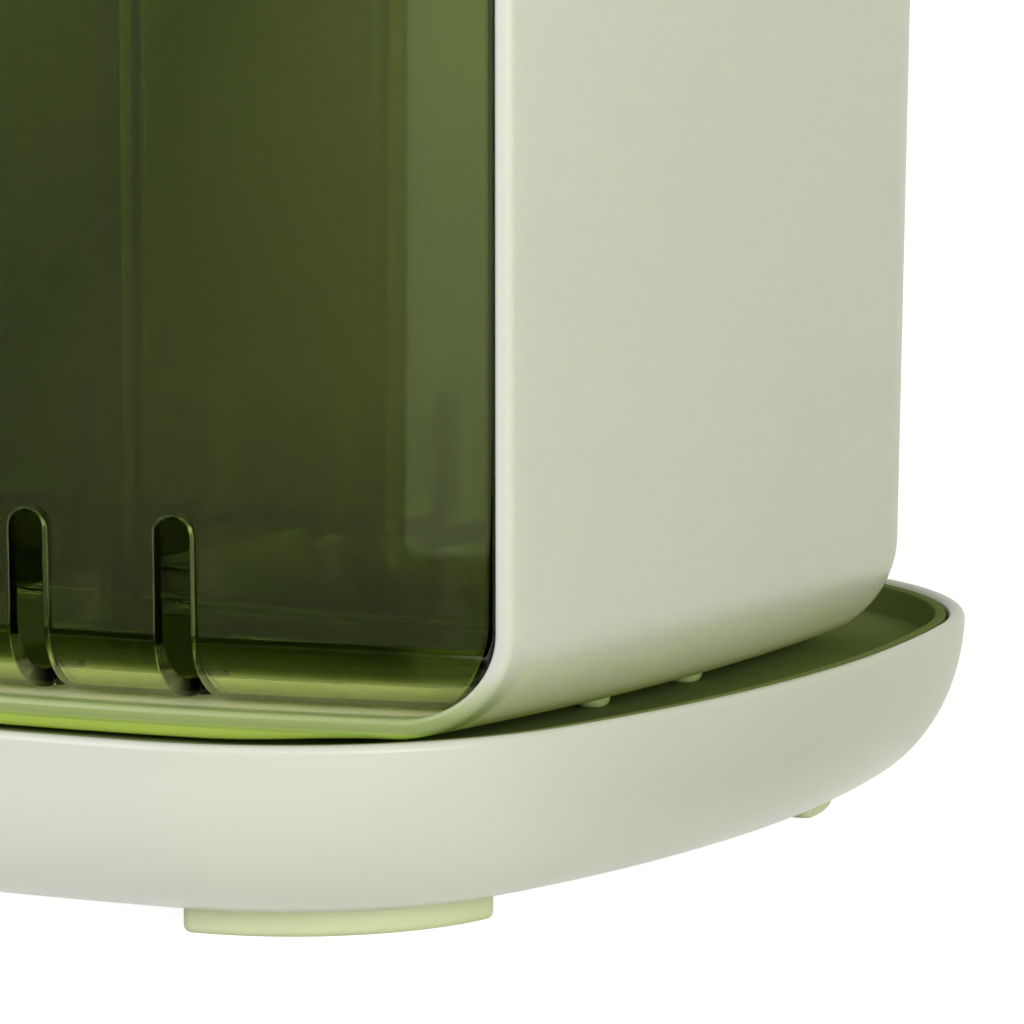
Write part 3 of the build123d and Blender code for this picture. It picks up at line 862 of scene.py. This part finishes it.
class BinSide:
    """One side, outer or inner, of a bin's walls and floor."""

    def __init__(self, rear, inner):
        self.rear = rear
        self.inner = inner
        self.gap = SHELL_WALL + BIN_CLEARANCE
        self.skin = BIN_WALL if inner else 0.0
        self.base = BIN_BOTTOM if inner else BIN_BASE + SEAT_GAP
        self.side_round = BIN_ROUND - self.skin
        edge = BIN_INNER_BEND if inner else BIN_EDGE_BEND
        self.bend = edge if rear else BIN_FRONT_BEND - self.skin
        self.back_bend = edge
        self.corner = BIN_INNER_CORNER if inner else BIN_CORNER
        self.front_arc = SHELL_FRONT_ARC - BIN_SETBACK - self.skin
        self.tangent = self.base + self.bend

    def front_y(self, x, z, inset):
        """Y of the front wall, moved in by inset."""
        if self.rear:
            return MEET_Y + BIN_GAP / 2 + self.skin + inset + np.zeros_like(x)
        centre = -half_depth(z) + BIN_SETBACK + self.skin + self.front_arc
        return centre - np.sqrt((self.front_arc - inset) ** 2 - x**2)

    def walls(self, u, v):
        """Mapping of the walls: u 0 to 8 from the front right corner round to the front left one."""
        z, inset = wall_at(v, self.base, self.side_round, BIN_TOP)
        z = z + np.zeros_like(u)
        front_inset = round_inset(z, self.base, self.bend)
        side_x, side_r, rear_y, rear_r, cx, cy, cr, side_turn, rear_turn = rear_path(
            z, inset, self.gap + self.skin
        )
        rho = self.corner
        if self.rear:
            near_y = self.front_y(np.zeros_like(z), z, front_inset) + rho
            near_x = side_x + np.sqrt((side_r - rho) ** 2 - near_y**2)
            near_first = np.full_like(z, -math.pi / 2)
            start = rear_r * np.cos(rear_turn)
        else:
            centre = -half_depth(z) + BIN_SETBACK + self.skin + self.front_arc
            near_x, near_y = circles_meet(
                0, centre, self.front_arc - front_inset - rho, side_x, 0, side_r - rho
            )
            near_first = np.arctan2(near_y - centre, near_x)
            rear_y = MEET_Y - BIN_GAP / 2 - self.skin - round_inset(z, self.base, self.back_bend)
            cr = rho
            cy = rear_y - rho
            cx = side_x + np.sqrt((side_r - rho) ** 2 - cy**2)
            side_turn = np.arctan2(cy, cx - side_x)
            rear_turn = np.full_like(z, math.pi / 2)
            start = cx
        near_last = np.arctan2(near_y, near_x - side_x)
        w, side = folded(u, 8)
        t = np.clip(w - 3, 0, 1)
        x = np.where(
            t < MIDDLE_SHARE,
            start + (MIDDLE_REACH - start) * t / MIDDLE_SHARE,
            MIDDLE_REACH * (1 - (t - MIDDLE_SHARE) / (1 - MIDDLE_SHARE)),
        )
        y = rear_y + np.sqrt(rear_r**2 - x**2) if self.rear else rear_y + np.zeros_like(x)
        if self.inner:
            y = y - rib_rise(x, z, inset if self.rear else 0.0)
        stretches = (
            arc_point(near_x, near_y, rho, share(w, 0, near_first, near_last)),
            arc_point(side_x, 0, side_r, share(w, 1, near_last, side_turn)),
            arc_point(cx, cy, cr, share(w, 2, side_turn, rear_turn)),
            (x, y),
        )
        x, y = (pick(w, (1, 2, 3), values) for values in zip(*stretches))
        return xyz(x * side, y, z)

    def sheet(self, x, s):
        """Mapping of the front wall, its bend and the floor, with s along them, 0 at the bend's top."""
        turn = np.clip(-s / self.bend, 0, math.pi / 2)
        z = self.tangent + np.maximum(s, 0) - self.bend * np.sin(turn)
        inset = self.bend * (1 - np.cos(turn))
        past = np.maximum(-s - self.bend * math.pi / 2, 0)
        if self.inner:
            past = np.maximum(past, rib_rise(x, z, inset))
        return xyz(x, self.front_y(x, z, inset) + past, z)

    def on_wall(self, x, z):
        """Sheet parameters of a point of the front wall or its bend."""
        down = np.clip((self.tangent - z) / self.bend, 0, 1)
        return np.column_stack([x, np.where(z > self.tangent, z - self.tangent, -self.bend * np.arcsin(down))])

    def on_floor(self, x, y):
        """Sheet parameters of a point of the floor, or of the bend in front of it."""
        past = y - self.front_y(x, self.base, self.bend)
        turn = np.arccos(np.clip(-past / self.bend, 0, 1))
        return np.column_stack([x, -self.bend * turn - np.maximum(past, 0)])

    def wrap_loop(self, x, grow):
        """Sheet outline of a slot that runs down the front, round the bend and onto the floor."""
        radius = WRAP_WIDTH / 2 + grow
        high = WRAP_TOP - WRAP_WIDTH / 2
        far = BIN_SETBACK - half_depth(BIN_BASE) + WRAP_REACH - WRAP_WIDTH / 2
        far += SHELL_FRONT_ARC - math.sqrt(SHELL_FRONT_ARC**2 - x**2)
        turns = np.linspace(0, math.pi, 13)
        top = self.on_wall(x + radius * np.cos(turns), high + radius * np.sin(turns))
        low = self.on_floor(x - radius * np.cos(turns), far + radius * np.sin(turns))
        ends = []
        for edge in (x - radius, x + radius):
            wall = self.on_wall(np.full(5, edge), np.linspace(high, self.tangent, 6)[1:])
            last = self.on_floor(edge, far)[0, 1]
            bend = np.column_stack([np.full(9, edge), np.linspace(0, last, 11)[1:-1]])
            ends.append(np.concatenate([wall, bend]))
        return np.concatenate([top, ends[0], low, ends[1][::-1]])


def bin_u_steps():
    """Values of u round a bin's walls."""
    middle = [MIDDLE_SHARE + (1 - MIDDLE_SHARE) * (1 - x / MIDDLE_REACH) for x in RIB_PLACES[::-1]]
    back = [*np.linspace(0, MIDDLE_SHARE, 14), *middle, 1.0]
    half = np.concatenate([
        np.linspace(0, 1, 6), np.linspace(1, 2, 18)[1:], np.linspace(2, 3, 13)[1:], 3 + np.array(back)[1:],
    ])
    return np.concatenate([half, (8 - half[::-1])[1:]])


def make_bin(end, material):
    """The front or rear see-through bin. The front one has slots that wrap round its bottom bend."""
    rear = end == "rear"
    shape = Shape()
    us = bin_u_steps()
    slots = floor_slot_loops(1 if rear else -1)
    spread = np.linspace(-1, 1, BIN_FRONT_STEPS)
    lines = []
    wraps = []
    for inner in (False, True):
        part = BinSide(rear, inner)
        bend_steps = 4 if rear else 8
        bend_s = [-part.bend * math.pi / 2 * k / bend_steps for k in range(bend_steps + 1)]
        heights = [part.tangent + part.bend * math.sin(s / part.bend) for s in bend_s[:-1]]
        heights += [RIB_TOP - RIB_SLOPE, RIB_TOP] if inner else []
        vs = wall_steps(part.base, part.side_round, BIN_TOP, BIN_RIM_ROUND, heights)
        shape.grid(part.walls, us, vs, flip=inner)
        edge = part.walls(np.zeros_like(vs), vs)
        crease = part.on_wall(edge[:, 0], edge[:, 2])
        crease[0, 1] = -part.bend * math.pi / 2
        top_s = BIN_TOP - BIN_RIM_ROUND - part.tangent
        top = np.column_stack([-spread * edge[-1, 0], np.full_like(spread, top_s)])
        foot = part.walls(us, np.zeros_like(us))
        foot = part.on_floor(foot[:, 0], foot[:, 1])
        left = crease[::-1] * np.array([-1, 1])
        outline = np.concatenate([crease, top[1:-1], left, foot[::-1][1:-1]])
        holes = [part.on_floor(*slot(SLOT_ROUND).T) for slot in slots]
        if not rear:
            wraps.append([
                (part.sheet(*part.wrap_loop(x, SLOT_ROUND).T), part.sheet(*part.wrap_loop(x, 0.0).T))
                for x in WRAP_X
            ])
            holes += [part.wrap_loop(x, SLOT_ROUND) for x in WRAP_X]
        across = np.arange(-GRID_HALF, GRID_HALF + GRID_ACROSS / 2, GRID_ACROSS)
        down = [*np.arange(GRID_START, top_s - GRID_END, GRID_UP)]
        down += [bend_s[-1] - k * GRID_BACK for k in range(1, 13)]
        creases = []
        if rear:
            reach = np.interp(bend_s, crease[:, 1], crease[:, 0])
            creases = [[(x, s) for x in spread * wide] for s, wide in zip(bend_s, reach)]
        else:
            down += bend_s
        rows = [np.array([x, s]) for s in down for x in across]
        ribs = []
        if inner:
            rib_s = [RIB_TOP - part.tangent, RIB_TOP - RIB_SLOPE - part.tangent]
            low = -part.bend * math.pi / 2
            steps = [*rib_s, *np.linspace(rib_s[1], 0, 30)[1:], *(low * k / 8 for k in range(1, 9))]
            ribs = [[(side * x, s) for s in steps] for side in (-1, 1) for x in RIB_PLACES]
            ribs += [[(x, s) for x in sorted(side * x for side in (-1, 1) for x in RIB_PLACES)] for s in rib_s]
        shape.patch(part.sheet, *fill(outline, holes, rows, creases + ribs, GRID_GAP), flip=inner)
        rim = part.walls(us, np.full_like(us, vs[-1]))
        rim_up = part.walls(us, np.full_like(us, 2.0)) - rim
        front = part.sheet(top[::-1, 0], top[::-1, 1])
        wide = part.walls(np.zeros(1), np.full(1, 2.0))[0, 0]
        front_up = part.sheet(spread * wide, np.full_like(spread, BIN_TOP - part.tangent)) - front
        lines.append((np.concatenate([rim, front[1:-1]]), np.concatenate([rim_up, front_up[1:-1]])))
    (outer, outer_away), (inner, inner_away) = lines
    shape.cap(outer, inner, outer_away, inner_away, BIN_RIM_ROUND)
    for slot in slots:
        slot_walls(shape, slot, BIN_BOTTOM, BIN_BASE + SEAT_GAP)
    for (wide_out, out), (wide_in, back) in zip(*wraps) if wraps else ():
        shape.cap(wide_out, wide_in, out - wide_out, back - wide_in, SLOT_ROUND, steps=3)
    shape.build(end + "_bin_body", material, "container", end + "_bin", end + "_container")


def rounded(corners):
    """Closed outline through corners of (x, y, radius)."""
    points = []
    count = len(corners)
    for i, (x, y, radius) in enumerate(corners):
        here = np.array([x, y])
        before = unit(np.array(corners[i - 1][:2]) - here)
        after = unit(np.array(corners[(i + 1) % count][:2]) - here)
        half = math.acos(np.clip(np.dot(before, after), -1, 1)) / 2
        centre = here + unit(before + after) * radius / math.sin(half)
        start = here + before * radius / math.tan(half) - centre
        end = here + after * radius / math.tan(half) - centre
        for t in np.linspace(0, 1, 9):
            points.append(centre + unit(start * (1 - t) + end * t) * radius)
    return np.array(points)


def drawn_in(loop, distance):
    """A closed counter-clockwise outline moved in by a distance."""
    ahead = unit(np.roll(loop, -1, axis=0) - loop)
    behind = np.roll(ahead, 1, axis=0)
    normal_a = np.column_stack([-ahead[:, 1], ahead[:, 0]])
    normal_b = np.column_stack([-behind[:, 1], behind[:, 0]])
    both = unit(normal_a + normal_b)
    return loop + both * (distance / (both * normal_a).sum(axis=1))[:, None]


def make_divider(end, material):
    """The front or rear upright plate, which slides down between the guide ribs."""
    rear = end == "rear"
    side = 1 if rear else -1
    far_gap = SHELL_WALL + BIN_CLEARANCE if rear else BIN_SETBACK
    bend = (BIN_ROUND if rear else BIN_FRONT_BEND) - BIN_WALL
    near = MEET_Y + side * (BIN_GAP / 2 + BIN_WALL + DIVIDER_CLEARANCE)
    far_inset = far_gap + BIN_WALL + DIVIDER_CLEARANCE
    low = BIN_BOTTOM + SEAT_GAP
    far_low = side * (half_depth(BIN_BOTTOM) - far_inset)
    far_high = side * (half_depth(DIVIDER_TOP) - far_inset)
    notch_near = near + side * NOTCH_FOOT
    notch_far = far_low - side * (bend + NOTCH_FOOT)
    corners = [
        (near, low, FOOT_ROUND),
        (notch_near, low, FOOT_ROUND),
        (notch_near, low + NOTCH_HEIGHT, FOOT_ROUND),
        (notch_far, low + NOTCH_HEIGHT, FOOT_ROUND),
        (notch_far, low, FOOT_ROUND),
        (far_low, low, bend),
        (far_high, DIVIDER_TOP, DIVIDER_CORNER),
        (near, DIVIDER_TOP, DIVIDER_CORNER),
    ]
    if not rear:
        corners = corners[::-1]
    exact = rounded(corners)
    loop = drawn_in(exact, DIVIDER_ROUND)
    half = DIVIDER_THICKNESS / 2
    shape = Shape()

    def face(x):
        return lambda y, z: xyz(x, y, z)

    params, faces = fill(loop)
    shape.patch(face(half), params, faces)
    shape.patch(face(-half), params, faces, flip=True)
    away = xyz(0.0, *(exact - loop).T)
    shape.cap(xyz(half, *loop.T), xyz(-half, *loop.T), away, away, DIVIDER_ROUND)
    shape.build(end + "_divider_plate", material, "divider", end + "_bin_divider", end + "_divider")


# Materials: noise is (scale, detail), relief adds its depth in metres
MOTTLE = (22.0, 3.0)
GLOSS_PATCHES = (60.0, 3.0)
GLOSS_SPREAD = (-0.03, 0.04)
GRAIN = (2600.0, 2.0, 0.000004)
UNEVENNESS = (35.0, 1.0, 0.00004)
CLEAR_MOTTLE = (16.0, 2.0)
CLEAR_GLOSS_PATCHES = (45.0, 3.0)
CLEAR_ROUGHNESS = (0.02, 0.04)
CLEAR_UNEVENNESS = (28.0, 1.0, 0.00003)
CLEAR_IOR = 1.49
# Transmission along the front bend, lowered so that its painted light shows
PAINTED_LIGHT_BEND_CLEARNESS = 0.86
WHITE = (1.0, 1.0, 1.0)


def connect(tree, node, inputs):
    """Gives a node's inputs their values, or links them to the outputs of other nodes."""
    for key, value in inputs.items():
        if isinstance(value, bpy.types.NodeSocket):
            tree.links.new(value, node.inputs[key])
        else:
            node.inputs[key].default_value = value


def add(tree, kind, inputs, **settings):
    """The outputs of a new shader node."""
    node = tree.nodes.new("ShaderNode" + kind)
    for name, value in settings.items():
        setattr(node, name, value)
    connect(tree, node, inputs)
    return node.outputs


def nodes_of(name):
    """A new material with its node tree and its Principled shader."""
    material = bpy.data.materials.new(name)
    material.use_nodes = True
    tree = material.node_tree
    return material, tree, tree.nodes["Principled BSDF"]


def place_in(tree):
    """The object's own coordinates."""
    return add(tree, "TexCoord", {})["Object"]


def noise(tree, scale, detail):
    """A noise texture over the object's own coordinates."""
    return add(tree, "TexNoise", {"Vector": place_in(tree), "Scale": scale, "Detail": detail})["Fac"]


def spread_out(tree, value, low, high, source=(0.3, 0.7)):
    """A value turned into the range low to high."""
    ends = {"From Min": source[0], "From Max": source[1], "To Min": low, "To Max": high}
    return add(tree, "MapRange", {"Value": value, **ends})["Result"]


def rise(tree, value, low, high):
    """0 where a value is below low, 1 where it is above high."""
    return spread_out(tree, value, 0.0, 1.0, (low, high))


def maths(tree, operation, first, second):
    """The result of a Math node."""
    return add(tree, "Math", {0: first, 1: second}, operation=operation)[0]


def mixed(tree, factor, first, second):
    """A colour between two others, each a colour or a socket."""
    first, second = ((*c, 1.0) if isinstance(c, tuple) else c for c in (first, second))
    return add(tree, "Mix", {0: factor, 6: first, 7: second}, data_type="RGBA")[2]


def bumped(tree, shader, *reliefs):
    """Fine surface relief."""
    under = {}
    for scale, detail, depth in reliefs:
        inputs = {"Height": noise(tree, scale, detail), "Distance": depth, **under}
        under = {"Normal": add(tree, "Bump", inputs)["Normal"]}
    connect(tree, shader, under)


def height_between(tree, low, high):
    """0 below the height low, 1 above high."""
    return rise(tree, add(tree, "SeparateXYZ", {"Vector": place_in(tree)})["Z"], low, high)


def front_between(tree, far, near):
    """0 farther than far from the bowed front of the shell, 1 nearer than near."""
    centre = (0.0, SHELL_FRONT_ARC - SHELL_HALF_DEPTH, 0.0)
    flat = add(tree, "VectorMath", {0: place_in(tree), 1: (1.0, 1.0, 0.0)}, operation="MULTIPLY")["Vector"]
    distance = add(tree, "VectorMath", {0: flat, 1: centre}, operation="DISTANCE")["Value"]
    return rise(tree, distance, SHELL_FRONT_ARC - far, SHELL_FRONT_ARC - near)


def mottled(tree, size, colour, other):
    """A colour with patches of another."""
    return mixed(tree, spread_out(tree, noise(tree, *size), 0.0, 1.0), colour, other)


def moulded(name, colour, other, roughness, specular):
    """Satin moulded plastic with a faint mottle and moulding grain."""
    material, tree, shader = nodes_of(name)
    tone = mottled(tree, MOTTLE, colour, other)
    gloss = (roughness + spread for spread in GLOSS_SPREAD)
    connect(tree, shader, {
        "Base Color": tone,
        "Roughness": spread_out(tree, noise(tree, *GLOSS_PATCHES), *gloss),
        "Specular IOR Level": specular,
    })
    bumped(tree, shader, GRAIN, UNEVENNESS)
    return material, tree, shader, tone


def clear(name, colour, other, low, foot, specular):
    """See-through tinted plastic, with painted shade that deepens its tone towards its foot and painted light
    along its front bend: low is the bend's painted light, foot the painted shade.
    """
    material, tree, shader = nodes_of(name)
    tone = mottled(tree, CLEAR_MOTTLE, colour, other)
    # Painted shade: the tone deepens towards the foot
    tone = mixed(tree, height_between(tree, BIN_BASE, BIN_BASE + SHELL_HEIGHT / 2), foot, tone)
    # Painted light: a light tone along the front bend
    bend = mixed(tree, height_between(tree, BIN_BASE + BIN_FLOOR, BIN_BASE + BIN_FRONT_BEND), low, tone)
    upright = height_between(tree, BIN_BASE + BIN_FLOOR / 2, BIN_BASE + BIN_FRONT_BEND / 2)
    near = front_between(tree, BIN_FRONT_BEND, BIN_FRONT_BEND / 2)
    connect(tree, shader, {
        "Base Color": mixed(tree, front_between(tree, 1.6 * BIN_FRONT_BEND, BIN_FRONT_BEND), tone, bend),
        "Roughness": spread_out(tree, noise(tree, *CLEAR_GLOSS_PATCHES), *CLEAR_ROUGHNESS),
        # Less transmission along the bend lets the painted light show
        "Transmission Weight": maths(
            tree, "MAXIMUM", upright, spread_out(tree, near, 1.0, PAINTED_LIGHT_BEND_CLEARNESS, (0.0, 1.0))
        ),
        "IOR": CLEAR_IOR,
        "Specular IOR Level": specular,
    })
    bumped(tree, shader, CLEAR_UNEVENNESS)
    return material


def tone_by_height(tree, *tones):
    """A colour that changes with height: tones are (height above the shell's base, colour), lowest first."""
    last = tones[0][1]
    for (low, _), (high, colour) in zip(tones, tones[1:]):
        last = mixed(tree, height_between(tree, SHELL_BASE + low, SHELL_BASE + high), last, colour)
    return last


cream, tree, shader, cream_tone = moulded(
    "cream_plastic", (0.745, 0.765, 0.635), (0.72, 0.74, 0.61), 0.34, 0.45
)
# Painted light over the green plate: the shell's colour turns a light yellow-green low down, most of all along
# its front edge, standing in for green light bounced up from the plate through the thin plastic
side_painted_bounce_tone = tone_by_height(
    tree,
    (0.0004, (0.84, 1.00, 0.27)),
    (0.0022, (0.90, 1.00, 0.50)),
    (0.0050, (0.77, 0.82, 0.54)),
    (0.0110, cream_tone),
)
# Painted light along the front edge: a dull green on the edge itself, and a bright yellow-green at its foot
# and on the drip bead, lightened to make up for the shade in the gap
edge_painted_bounce_tone = tone_by_height(
    tree,
    (0.0002, (0.62, 0.95, 0.12)),
    (0.0009, (0.40, 0.48, 0.18)),
    (0.0024, (0.36, 0.44, 0.18)),
    (0.0080, cream_tone),
)
connect(tree, shader, {
    "Base Color": mixed(tree, front_between(tree, 0.0036, 0.0020), side_painted_bounce_tone, edge_painted_bounce_tone),
    "Subsurface Weight": 0.6,
    "Subsurface Scale": 0.006,
    "Subsurface Radius": (0.85, 1.0, 0.40),
})
tray_cream = moulded("tray_plastic", (0.70, 0.715, 0.605), (0.67, 0.685, 0.575), 0.32, 0.45)[0]
foot_cream = moulded("foot_rubber", (0.69, 0.72, 0.46), (0.65, 0.68, 0.42), 0.5, 0.4)[0]
plate_green = moulded("plate_green", (0.22, 0.275, 0.095), (0.20, 0.25, 0.085), 0.36, 0.0)[0]
# Partly painted light: the pads' own green is made lighter to stand in for light in the shade under the shell
pad_green_painted_light = moulded("pad_green_painted_light", (0.85, 0.98, 0.45), (0.81, 0.94, 0.42), 0.3, 0.4)[0]
# Colours: tone, mottle, painted light along the front bend, painted shade at the foot
bin_green = clear(
    "bin_green", (0.56, 0.64, 0.27), (0.54, 0.62, 0.25), (0.92, 1.00, 0.50), (0.38, 0.45, 0.17), 0.3
)
divider_green = clear(
    "divider_green", (0.22, 0.26, 0.09), (0.20, 0.24, 0.08), (0.22, 0.26, 0.09), (0.20, 0.24, 0.08), 0.2
)

make_tray(tray_cream)
make_feet(foot_cream)
make_plate(plate_green)
make_shell(cream)
make_drip_lip(cream)
make_pads(pad_green_painted_light)
make_bin("front", bin_green)
make_bin("rear", bin_green)
make_divider("front", divider_green)
make_divider("rear", divider_green)


# Floor, cards, lights and camera
FLOOR_HALF = 6.0
FLOOR_GREY = (0.76, 0.76, 0.76)
FLOOR_GLOW = 0.90
CARD_HEIGHT = 0.001
ALL_ALONG = (-2.0, -1.0)
WORLD_LIGHT = 0.50
DIM_SIDE = (0.75, 0.60, 0.0)
DIM_RANGE = (-0.4, 0.9)
DIM_COLOUR = (0.26, 0.28, 0.06)
LAMP_DISTANCE = 2.0
LAMP_SIZE = 1.1
LAMP_TARGET = Vector((0, 0, 0.06))
CAMERA_AZIMUTH = 31.29
CAMERA_ELEVATION = 7.76
CAMERA_DISTANCE = 0.850
CAMERA_TARGET = Vector((0.057579, -0.002865, 0.04125))
CAMERA_LENS = 253.125
CAMERA_SENSOR = 36.0
LIGHT_BOUNCES = 24


def seen_directly(tree):
    """1 for camera, glossy and transmission rays, 0 for the light that falls on things."""
    camera, glossy, through = (
        add(tree, "LightPath", {})[f"Is {kind} Ray"] for kind in ("Camera", "Glossy", "Transmission")
    )
    return maths(tree, "MAXIMUM", maths(tree, "MAXIMUM", camera, glossy), through)


def laid(name, corners, height, inputs):
    """A level piece of the stage with a material of its own. inputs(tree) gives its shader's values."""
    material, tree, shader = nodes_of(name)
    connect(tree, shader, {"Specular IOR Level": 0.0, **inputs(tree)})
    mesh = bpy.data.meshes.new(name)
    mesh.from_pydata([(x, y, height) for x, y in corners], [], [tuple(range(len(corners)))])
    mesh.materials.append(material)
    piece = placed(name, mesh)
    return piece


def card(name, corners, seen_in, colour, across, ahead):
    """A card on the table that only one kind of ray sees.

    Its glow grows from 0 to 1 between two values of x, and again between two values of y.
    """

    def glow(tree):
        place = add(tree, "SeparateXYZ", {"Vector": place_in(tree)})
        strength = maths(tree, "MULTIPLY", rise(tree, place["X"], *across), rise(tree, place["Y"], *ahead))
        return {
            "Base Color": (0.0, 0.0, 0.0, 1.0),
            "Emission Color": (*colour, 1.0),
            "Emission Strength": strength,
        }

    piece = laid(name, corners, CARD_HEIGHT, glow)
    piece.visible_camera = piece.visible_transmission = piece.visible_shadow = False
    piece.visible_diffuse = seen_in == "diffuse"
    piece.visible_glossy = seen_in == "glossy"


def way_to(azimuth, elevation):
    """The way to a place round the object: degrees from -Y towards +X, and degrees up."""
    turn = math.radians(azimuth)
    up = math.radians(elevation)
    return Vector((math.sin(turn) * math.cos(up), -math.cos(turn) * math.cos(up), math.sin(up)))


laid(
    "floor",
    [(side_x * FLOOR_HALF, side_y * FLOOR_HALF) for side_x, side_y in ((-1, -1), (1, -1), (1, 1), (-1, 1))],
    0,
    lambda tree: {
        "Base Color": (*FLOOR_GREY, 1.0),
        "Roughness": 0.9,
        "Emission Color": (*WHITE, 1.0),
        "Emission Strength": spread_out(tree, seen_directly(tree), 0.0, FLOOR_GLOW, (0.0, 1.0)),
    },
)
# Painted reflections in the front bin: cards that only glossy rays see, a dark field with a yellow-green glow,
# and to the right of it a light upright band
meeting = [
    (0.098 - 0.012 * math.sin(t), -0.281 - 0.012 * (1 - math.cos(t))) for t in np.linspace(0, math.pi / 2, 8)
]
card(
    "painted_dark_reflection",
    [(-2.6, -3.0), (0.273, -3.0), *meeting[::-1], (0.6, -0.262), (0.6, -0.13), (-2.6, -0.13)],
    "glossy",
    (0.77, 0.90, 0.22),
    (-0.135, 0.117),
    (-0.22, -0.45),
)
card(
    "painted_band_reflection",
    [(0.273, -3.0), (1.2, -3.0), (0.6, -0.262), *meeting],
    "glossy",
    (1.36, 1.60, 0.74),
    ALL_ALONG,
    (0.10, -0.50),
)
# A grey cloth on the table to the right takes some light from below away there
card(
    "side_cloth",
    [(0.103, -0.045), (0.7, -0.22), (0.7, 0.6), (-0.05, 0.6), (-0.05, 0.093), (0.055, 0.088), (0.094, 0.055)],
    "diffuse",
    (0.13, 0.15, 0.07),
    ALL_ALONG,
    ALL_ALONG,
)

world = bpy.data.worlds.new("studio")
bpy.context.scene.world = world
world.use_nodes = True
tree = world.node_tree
way = add(tree, "TexCoord", {})["Generated"]
towards = add(tree, "VectorMath", {0: way, 1: DIM_SIDE}, operation="DOT_PRODUCT")["Value"]
sky = mixed(tree, rise(tree, towards, *DIM_RANGE), WHITE, DIM_COLOUR)
connect(tree, tree.nodes["Background"], {
    "Color": mixed(tree, seen_directly(tree), sky, WHITE),
    "Strength": spread_out(tree, seen_directly(tree), WORLD_LIGHT, 1.0, (0.0, 1.0)),
})

for name, azimuth, elevation, power, colour in (
    ("key", -28.0, 28.0, 14.0, (1.0, 1.0, 1.16)),
    ("fill", 60.0, 12.0, 25.0, (1.0, 1.0, 0.97)),
):
    data = bpy.data.lights.new(name, "AREA")
    data.size = LAMP_SIZE
    data.energy = power
    data.color = colour
    light = placed(name, data)
    light.location = way_to(azimuth, elevation) * LAMP_DISTANCE
    light.rotation_euler = (LAMP_TARGET - light.location).to_track_quat("-Z", "Y").to_euler()

data = bpy.data.cameras.new("camera")
data.sensor_width = CAMERA_SENSOR
data.lens = CAMERA_LENS
camera = placed("camera", data)
back = way_to(CAMERA_AZIMUTH, CAMERA_ELEVATION)
right = way_to(CAMERA_AZIMUTH + 90, 0)
turn = Matrix((right, back.cross(right), back)).transposed().to_4x4()
camera.matrix_world = Matrix.Translation(CAMERA_TARGET + back * CAMERA_DISTANCE) @ turn
scene = bpy.context.scene
scene.camera = camera
scene.view_settings.view_transform = "Standard"
scene.cycles.max_bounces = scene.cycles.transmission_bounces = LIGHT_BOUNCES
